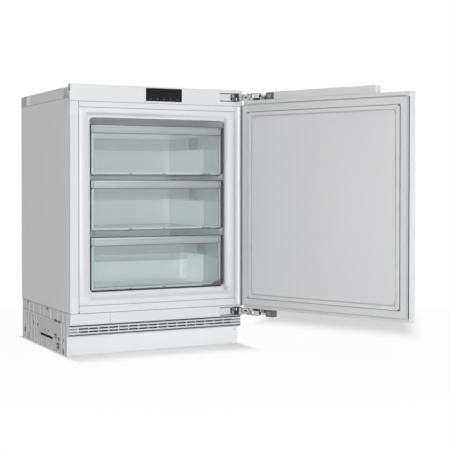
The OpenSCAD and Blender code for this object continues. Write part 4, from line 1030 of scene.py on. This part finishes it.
class FREEZER_OT_finishes(bpy.types.Operator):
    """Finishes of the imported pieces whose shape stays"""

    bl_idname = "freezer.finishes"
    bl_label = "Finishes"

    def execute(self, context):
        colours = context.scene.freezer_colours
        edge = context.scene.freezer_sizes.edge
        self.front(colours, edge)
        self.sheets(colours)
        self.hinges(colours)
        self.works(colours)
        return {"FINISHED"}

    def front(self, colours, edge):
        white = colours.white
        finish_nodes(moulded("white_front", white, edge=edge), "crossbars", "lower_front_strip",
                     "strip_covers", "ventilation_grille", "hinge_slot_covers")
        finish_nodes(moulded("trim_white", white, edge=edge, dress=paint_right_light), "front_trims")
        finish_nodes(moulded("fascia_white", white, edge=edge, dress=clip_mouth), "control_fascia")
        # The plinth's white is a brighter copy of the front's white, painted light, with painted shade and
        # light across it
        plinth = moulded("plinth_white", darker(white, 1.2), edge=edge, dress=paint_plinth_light)
        finish_nodes(plinth, "plinth_panel")
        finish_nodes(moulded("liner_white", colours.liner, 0.31, edge), "inner_liner")
        finish_nodes(moulded("door_panel_white", colours.door_inner, 0.31, edge), "door_inner_panel")
        finish_nodes(base_plastic("base_grey", colours.base), "base_tray")
        finish_nodes(ribbed_block("rail_grey", colours.base), "rail_end_blocks")
        finish_nodes(black_glass("display_glass"), "display_panel")
        finish_nodes(float_glass("shelf_glass", colours.glass), "glass_shelves")

    def sheets(self, colours):
        grey = coated_steel("grey_coat", colours.steel, dress=side_hems)
        finish_nodes(grey, "left_side_panel", "right_side_panel", "top_panel")
        rail = coated_steel("rail_coat", colours.steel, 0.38, 0.10, (0.93, 0.97), rail_folds)
        finish_nodes(rail, "top_rails")
        door = coated_steel("door_coat", colours.door_outer)
        finish_nodes(door, "door_outer_skin", "door_mounting_rail")
        zinc = plated_steel("zinc_plate", colours.zinc)
        finish_nodes(zinc, "foot_brackets", "plinth_screws", "back_panel", "machine_floor")

    def hinges(self, colours):
        zinc = colours.zinc
        housing = hinge_steel("hinge_housing", zinc, housing_painted_shade)
        finish_nodes(housing, "upper_hinge_bracket", "lower_hinge_bracket")
        links = hinge_steel("hinge_link_steel", darker(zinc, 0.72), link_painted_shade, RIVETS)
        finish_nodes(links, "main_hinge_links", "guide_hinge_links")
        arms = hinge_steel("hinge_arm_steel", zinc, arm_painted_shade)
        finish_nodes(arms, "upper_door_bracket", "lower_door_bracket")
        finish_nodes(plated_steel("screw_steel", darker(zinc, 0.5)), "hinge_block_screws")

    def works(self, colours):
        """The pieces behind, under and inside the cabinet."""
        dark = moulded("dark_plastic", colours.dark, 0.45, 0.001, 0.00005)
        finish_nodes(dark, "fascia_clip", "machine_cover", "fan_shroud", "fan_rotor", "melt_water_tray",
                     "terminal_box", "power_inlet", "left_front_foot", "right_front_foot",
                     "left_rear_foot", "right_rear_foot")
        finish_nodes(plated_steel("aluminium_sheet", colours.aluminium, 0.32), "evaporator")
        finish_nodes(painted_iron("black_paint", colours.black), "compressor", "condenser")
        finish_nodes(rubber("black_rubber", colours.black), "compressor_mounts")
        finish_nodes(copper("copper_pipe", colours.copper), "filter_drier", "refrigerant_pipes")
        finish_nodes(insulation("foam", colours.foam), "cabinet_foam", "door_foam")
        finish_nodes(board("circuit_board"), "control_board")


class FREEZER_OT_mouth(bpy.types.Operator):
    """The moulded frame with its soft bevel round the mouth, and the dark sheets that stand for the shade in
    the gaps beside the drawers
    """

    bl_idname = "freezer.mouth"
    bl_label = "Mouth frame"

    def execute(self, context):
        sizes = context.scene.freezer_sizes
        colour = context.scene.freezer_colours.white
        white = moulded("mouth_white", colour, edge=sizes.edge, dress=paint_mouth_light)
        finish_nodes(white, "front_frame")
        low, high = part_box("front_frame")
        liner_low, liner_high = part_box("inner_liner")
        narrower, sill = 0.0028, 0.0045
        floor = liner_low.z + sizes.wall
        half = liner_high.x - sizes.wall - narrower
        bottom, top = floor - sill, liner_high.z - sizes.wall
        radius = sizes.mouth_radius

        def mouth(out, round_out, y):
            return rounded(half + out, bottom - out, top + out, radius + round_out, y)

        corner, broken, flare, seat = 0.001, 0.0006, 0.002, 0.0002
        loops = [
            rounded(high.x, low.z, high.z, corner, high.y),
            rounded(high.x, low.z, high.z, corner, FRONT + broken),
            rounded(high.x - broken, low.z + broken, high.z - broken, corner, FRONT),
        ]
        steps = 12
        for k in range(steps + 1):
            slope = 0.5 - 0.5 * math.cos(math.pi * k / steps)
            sink = sizes.bevel_depth * slope**1.15 + (seat if k else 0.0)
            out = (sizes.bevel + flare) * (1 - k / steps)
            loops.append(mouth(out, out * 0.5, FRONT + sink))
        inner, turn, steps = FRONT + sizes.bevel_depth, 0.0015, 4
        for k in range(1, steps + 1):
            angle = math.radians(90 * k / steps)
            tucked = half - turn * math.sin(angle) + turn
            loops.append(rounded(tucked, bottom, top, radius, inner + turn * (1 - math.cos(angle))))
        groove, out = inner + 0.0022, 0.004
        for wider, deep in [(0.0, 0.0), (out, 0.0002), (out, 0.0036), (0.0, 0.0038)]:
            loops.append(mouth(wider, wider, groove + deep))
        loops.append(mouth(0.0, 0.0, high.y))
        shape = bmesh.new()
        loft(shape, loops, ring=True)
        piece("mouth_frame", shape, "cabinet", "white_plastic", white, ["front_frame"], 50)

        shape = bmesh.new()
        near, far = (FRONT + depth for depth in GAP_DEPTH)
        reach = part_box("upper_drawer_tub")[1].x + GAP_START
        for level in LEVELS:
            start, end = drawer_heights(level)
            for hand in (-1, 1):
                left, right = sorted((hand * reach, hand * (half - 0.0001)))
                slab(shape, (left, near, start), (right, far, end))
        slab(shape, (-half + 0.004, near, bottom + 0.0001), (half - 0.004, far, floor + 0.0003))
        line_piece("mouth_shadows", shape, "cabinet", shadow("gap_shadow"))
        return {"FINISHED"}


class FREEZER_OT_drawers(bpy.types.Operator):
    """The clear drawers with their rounded tubs and the silver strips"""

    bl_idname = "freezer.drawers"
    bl_label = "Drawers"

    def execute(self, context):
        colours = context.scene.freezer_colours
        sizes = context.scene.freezer_sizes
        for level in LEVELS:
            low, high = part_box(level + "_drawer_tub")
            strip_low, strip_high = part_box(level + "_drawer_handle")
            ledge = drawer_ledge(level)
            clear = clear_plastic(level + "_drawer_plastic", colours.clear, ledge, low.y, *MILKINESS[level])
            silver = brushed_strip(level + "_silver_strip", colours.silver, strip_low, strip_high)
            finish_nodes(clear, level + "_drawer_tub")
            finish_nodes(silver, level + "_drawer_handle")
            self.tub(level, low, high, sizes, clear)
            self.front(level, low, high, sizes.wall, colours.clear)
            self.grips(level, high, colours.clear)
            self.stops(level, low, high)
            self.strip(level, strip_low, strip_high, silver)
        return {"FINISHED"}

    def part(self, level, kind, shape, finish, slot="clear_plastic", stands_for=(), **looks):
        """A piece that rides on one drawer."""
        stands_for = [level + "_drawer_" + node for node in stands_for]
        piece(level + "_drawer_" + kind, shape, level + "_drawer", slot, finish, stands_for, **looks)

    def pane(self, low, high, y):
        """The outline of the clear front inside its rim."""
        half = high.x - TUB_INSET - PANE_INSET
        return rounded(half, low.z + PANE_UP, high.z - PANE_DOWN, 0.006, y)

    def tub(self, level, low, high, sizes, finish):
        """A thin tub with a rounded floor edge, a ledge, and a lip folded inward."""
        wall, corner = sizes.wall, sizes.drawer_corner
        side, front, ledge = high.x - TUB_INSET, low.y + 0.0006, drawer_ledge(level)

        def walls(inset, z, radius=corner):
            return bay(side - inset, front, high.y - inset, radius, z)

        floor = arc(FLOOR_INSET + FLOOR_ROUND, low.z + FLOOR_UP + FLOOR_ROUND, FLOOR_ROUND, -90, -90, 4)
        loops = [walls(inset, z) for inset, z in floor]
        loops += [
            walls(TUB_STEP, ledge - LEDGE_FADE), walls(TUB_FOLD, ledge), walls(0.0, high.z - TUB_LIP - 0.001),
            walls(0.0, high.z - TUB_FOLD), walls(TUB_FOLD, high.z),
            walls(wall, high.z, corner - wall), walls(wall, high.z - TUB_LIP, corner - wall),
        ]
        shape = bmesh.new()
        loft(shape, loops, last=False, whole=False)
        shape.faces.new([shape.verts.new(point) for point in self.pane(low, high, front)])
        self.part(level, "bin", shape, finish, stands_for=["tub"], smooth=40)

    def front(self, level, low, high, wall, colour):
        """The moulded rim round the clear front."""
        half = high.x

        def inner(y):
            return rounded(half - wall, low.z + wall, high.z - PANE_DOWN, 0.005, y)

        backs = (RIM_ROUND, FRONT_DEPTH, RIM_DEPTH)
        shape = bmesh.new()
        loft(shape, [
            rounded(half - RIM_ROUND, low.z + RIM_ROUND, high.z, 0.006, low.y),
            *(rounded(half, low.z, high.z, 0.0065, low.y + back) for back in backs),
            inner(low.y + RIM_DEPTH), inner(low.y + wall),
            self.pane(low, high, low.y + wall), self.pane(low, high, low.y),
        ], ring=True)
        self.part(level, "front", shape, plastic_rim(level + "_drawer_rim", colour, half), smooth=40)

    def grips(self, level, high, colour):
        """The frosted grip pockets inside both walls."""
        tall, up = (GRIP_BOTTOM - GRIP_TOP) / 2, high.z - (GRIP_BOTTOM + GRIP_TOP) / 2
        middle = FRONT + GRIP_BACK - LOWER_GRIP_SHIFT * (level == "lower")
        shape = bmesh.new()
        for hand in (-1, 1):
            rows = []
            for inward, shrink in GRIP_ROWS:
                x = hand * (high.x - TUB_INSET - inward)
                flat = rounded(GRIP_HALF - shrink, shrink - tall, tall - shrink, 0.008, 0.0, 5)
                rows.append([(x, middle + along, up + z) for along, _, z in flat])
            loft(shape, rows, first=False)
        frost = frosted_grip(level + "_drawer_frost", colour, middle - GRIP_HALF)
        self.part(level, "grips", shape, frost, smooth=40)

    def stops(self, level, low, high):
        """Small dark stops along the lower edge, and a dark sheet at the lower drawer's corner that stands
        for shade.
        """
        shape = bmesh.new()
        proud, back, bottom, top = 0.0003, 0.004, low.z + 0.0008, low.z + 0.0034
        for x, half in STOPS:
            slab(shape, (x - half, low.y - proud, bottom), (x + half, low.y + back, top))
        if level == "lower":
            right = high.x - 0.0005
            corner = [(high.x - 0.040, 0.0002), (right, 0.0002), (right, 0.0175), (high.x - 0.026, 0.0085)]
            loft(shape, [[(x, low.y + deep, low.z + up) for x, up in corner] for deep in (-proud, proud)])
        dark = shadow("stop_shadow")
        self.part(level, "stops", shape, dark, "dark_plastic", smooth=40, edge=0.0002, steps=1)

    def strip(self, level, low, high, finish):
        """A profiled strip, open towards the drawer, with a shallow groove along its face."""
        height, depth = high.z - low.z, high.y - low.y
        outline = [
            (0.0, 0.0008), (0.0008, 0.0), (0.0016, 0.0), (0.0016, height - 0.0026),
            (depth - 0.0026, height - 0.0026), (depth - 0.0016, height - 0.0036),
            (depth - 0.0016, 0.0), (depth - 0.0006, 0.0), (depth, 0.0006),
            (depth, height - 0.002), (depth - 0.0006, height - 0.0008), (depth - 0.002, height),
            (0.0022, height), (0.0008, height - 0.0006), (0.0, height - 0.002),
            (0.0, height * 0.66), (0.0007, height * 0.64), (0.0007, height * 0.34), (0.0, height * 0.32),
        ]
        broken = 0.0004
        loops = []
        for x, inset in [(low.x, broken), (low.x + broken, 0.0), (high.x - broken, 0.0), (high.x, broken)]:
            loops.append([
                (x, low.y + min(max(y, inset), depth - inset), low.z + min(max(z, inset), height - inset))
                for y, z in outline
            ])
        shape = bmesh.new()
        loft(shape, loops)
        self.part(level, "strip", shape, finish, "silver_plastic", ["handle"], smooth=30)


class FREEZER_OT_display(bpy.types.Operator):
    """Faint generic marks along the display's lower edge"""

    bl_idname = "freezer.display"
    bl_label = "Display marks"

    def execute(self, context):
        sizes = context.scene.freezer_sizes
        low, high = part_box("display_panel")
        half, z, proud = sizes.mark / 2, low.z + MARKS_UP, 0.00012
        margin = 0.8  # of the distance between two marks
        shape = bmesh.new()
        for k in range(sizes.marks):
            x = low.x + (high.x - low.x) * (k + margin) / (sizes.marks - 1 + 2 * margin)
            slab(shape, (x - half, low.y - proud, z - half), (x + half, low.y, z + half))
        piece("display_marks", shape, "cabinet", "black_glass", lit_mark("display_mark"), edge=0.0004)
        return {"FINISHED"}


class FREEZER_OT_seal(bpy.types.Operator):
    """The door gasket with its bellows"""

    bl_idname = "freezer.seal"
    bl_label = "Door seal"

    def execute(self, context):
        width = context.scene.freezer_sizes.gasket
        low, high = closed_box("door_gasket")
        half_profile = [
            (0.0, 0.0), (0.0, 0.30), (0.10, 0.36), (0.16, 0.44), (0.10, 0.54), (0.0, 0.60), (0.0, 0.92),
            (0.06, 1.0),
        ]
        profile = half_profile + [(1.0 - across, up) for across, up in reversed(half_profile)]
        loops = []
        for across, up in profile:
            inset = across * width
            y = low.y + up * (high.y - low.y)
            loops.append(rounded(high.x - inset, low.z + inset, high.z - inset, 0.0012, y, 2))
        shape = bmesh.new()
        loft(shape, loops, ring=True)
        grey = rubber("seal_grey", context.scene.freezer_colours.seal)
        finish_nodes(grey, "door_gasket")
        piece("door_seal", shape, "door", "gasket_rubber", grey, ["door_gasket"], 30, move=door_move())
        return {"FINISHED"}


class FREEZER_OT_seams(bpy.types.Operator):
    """Narrow dark seams between the front pieces and the shadow grooves of the grille"""

    bl_idname = "freezer.seams"
    bl_label = "Seams and grooves"

    def execute(self, context):
        self.seams(context.scene.freezer_sizes.seam)
        self.grille()
        return {"FINISHED"}

    def seams(self, width):
        trim_low, trim_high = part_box("front_trims")
        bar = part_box("crossbars")[1].x
        frame_low, frame_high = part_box("front_frame")
        near, far = FRONT - 0.00015, FRONT + 0.0005
        reach = trim_high.x - 0.0006
        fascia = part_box("control_fascia")[0].z - 0.0003
        strip = trim_low.z - 0.0004
        shape = bmesh.new()
        for z, half in [(fascia, reach), (frame_low.z, bar), (frame_high.z, bar), (strip, reach)]:
            slab(shape, (-half, near, z - width / 2), (half, far, z + width / 2))
        x, half = -bar - 0.0003, width * 0.75
        slab(shape, (x - half, near, trim_low.z), (x + half, far, trim_high.z))
        dot_low, dot_high = trim_low.z + 0.0005, trim_low.z + 0.0045
        slab(shape, (x - 0.0022, FRONT - 0.0002, dot_low), (x + 0.0016, FRONT, dot_high))
        line_piece("front_seams", shape, "cabinet", shadow("seam_shadow"))

    def grille(self):
        """The whole rows above and below, a dark screen behind the open rows that stands for the shade
        inside, and their shallow ends.
        """
        low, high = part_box("ventilation_grille")
        left, right = low.x + 0.0006, high.x - 0.0006
        near, far = low.y + 0.0009, low.y + 0.0012
        rows = [high.z - ROW_DROP - row * ROW_PITCH for row in range(4)]
        half = ROW_TALL / 2
        shape = bmesh.new()
        for z in (rows[0], rows[3]):
            slab(shape, (left, near, z - half), (right, far, z + half))
        shade_screen = high.y - 0.0012
        bottom, top = rows[2] - ROW_TALL, rows[1] + ROW_TALL
        slab(shape, (-SHADE_SCREEN_HALF, shade_screen, bottom), (SHADE_SCREEN_HALF, shade_screen + 0.0003, top))
        line_piece("grille_grooves", shape, "cabinet", shadow("groove_shadow"))
        shape = bmesh.new()
        for z in rows[1:3]:
            for start, end in ((left, LEFT_END), (RIGHT_END, right)):
                slab(shape, (start, near, z - half), (end, far, z + half))
        line_piece("grille_ends", shape, "cabinet", shadow("shallow_shadow"))


class FREEZER_OT_door_lines(bpy.types.Operator):
    """The door's channel round the seal, its rim, its dark edge groove and its folded edge with a painted
    highlight
    """

    bl_idname = "freezer.door_lines"
    bl_label = "Door lines"

    def execute(self, context):
        width = context.scene.freezer_sizes.seam
        panel_low, panel_high = closed_box("door_inner_panel")
        seal_low, seal_high = closed_box("door_gasket")
        skin_low, skin_high = closed_box("door_outer_skin")
        rail_low, rail_high = closed_box("door_mounting_rail")
        face = panel_high.y
        move = door_move()

        def line(name, shape, finish, slot="dark_plastic"):
            line_piece(name, shape, "door", finish, slot, move)

        shape = bmesh.new()
        out = 0.0016
        band(shape, seal_high.x + out, seal_low.z - out, seal_high.z + out, width * 1.3, face - 0.0002,
             face + 0.0002)
        inset, half = 0.0015, 0.0024
        near, far = seal_high.y - 0.001, seal_high.y + 0.0001
        for x in (seal_low.x + inset, seal_high.x - inset):
            for z in (seal_low.z + inset, seal_high.z - inset):
                slab(shape, (x - half, near, z - half), (x + half, far, z + half))
        line("door_channel", shape, shadow("channel_shadow"))

        shape = bmesh.new()
        inset = 0.0018
        band(shape, panel_high.x - inset, panel_low.z + inset, panel_high.z - inset, width, face - 0.0002,
             face + 0.00015)
        line("door_border", shape, shadow("border_shadow"))

        shape = bmesh.new()
        inset = 0.0002
        band(shape, skin_high.x - inset, skin_low.z + inset, skin_high.z - inset, 0.012, skin_high.y - 0.0005,
             face - 0.0090)
        coat = bpy.data.materials["door_coat"]
        piece("door_rim", shape, "door", "white_plastic", coat, smooth=30, edge=0.0008, move=move)

        proud, sunk = 0.00015, 0.0004
        shape = bmesh.new()
        slab(shape, (panel_low.x - 0.0002, face - 0.0110, panel_low.z + 0.001),
             (panel_low.x + sunk, face - 0.0038, panel_high.z - 0.002))
        line("door_edge_groove", shape, shadow("channel_shadow"))

        shape = bmesh.new()
        slab(shape, (skin_low.x - proud, skin_low.y + 0.0006, skin_low.z + 0.001),
             (skin_low.x + sunk, face - 0.0102, skin_high.z - 0.001))
        slab(shape, (rail_low.x - proud, rail_low.y + 0.0006, rail_low.z + 0.0006),
             (rail_low.x + sunk, rail_high.y - 0.0006, rail_high.z - 0.0006))
        # The folded edge gets a brighter copy of the door's coat: a painted highlight
        painted_highlight_coat = coated_steel("edge_coat", darker(context.scene.freezer_colours.white, 1.24))
        line("door_edge_folds", shape, painted_highlight_coat, "white_plastic")
        return {"FINISHED"}


class FREEZER_PT_panel(bpy.types.Panel):
    """Lists what the freezer is built from"""

    bl_idname = "FREEZER_PT_panel"
    bl_label = "Freezer"
    bl_space_type = "VIEW_3D"
    bl_region_type = "UI"
    bl_category = "Freezer"

    def draw(self, context):
        for operator in OPERATORS:
            self.layout.operator(operator.bl_idname)
        for group in (context.scene.freezer_colours, context.scene.freezer_sizes):
            for name in group.__annotations__:
                self.layout.prop(group, name)


OPERATORS = (
    FREEZER_OT_stage,
    FREEZER_OT_finishes,
    FREEZER_OT_mouth,
    FREEZER_OT_drawers,
    FREEZER_OT_display,
    FREEZER_OT_seal,
    FREEZER_OT_seams,
    FREEZER_OT_door_lines,
)
CLASSES = (FreezerColours, FreezerSizes, *OPERATORS, FREEZER_PT_panel)


def register():
    for each in CLASSES:
        bpy.utils.register_class(each)
    bpy.types.Scene.freezer_colours = PointerProperty(type=FreezerColours)
    bpy.types.Scene.freezer_sizes = PointerProperty(type=FreezerSizes)


def unregister():
    del bpy.types.Scene.freezer_sizes
    del bpy.types.Scene.freezer_colours
    for each in reversed(CLASSES):
        bpy.utils.unregister_class(each)


def main():
    register()
    for operator in OPERATORS:
        group, name = operator.bl_idname.split(".")
        getattr(getattr(bpy.ops, group), name)()


if __name__ == "__main__":
    main()
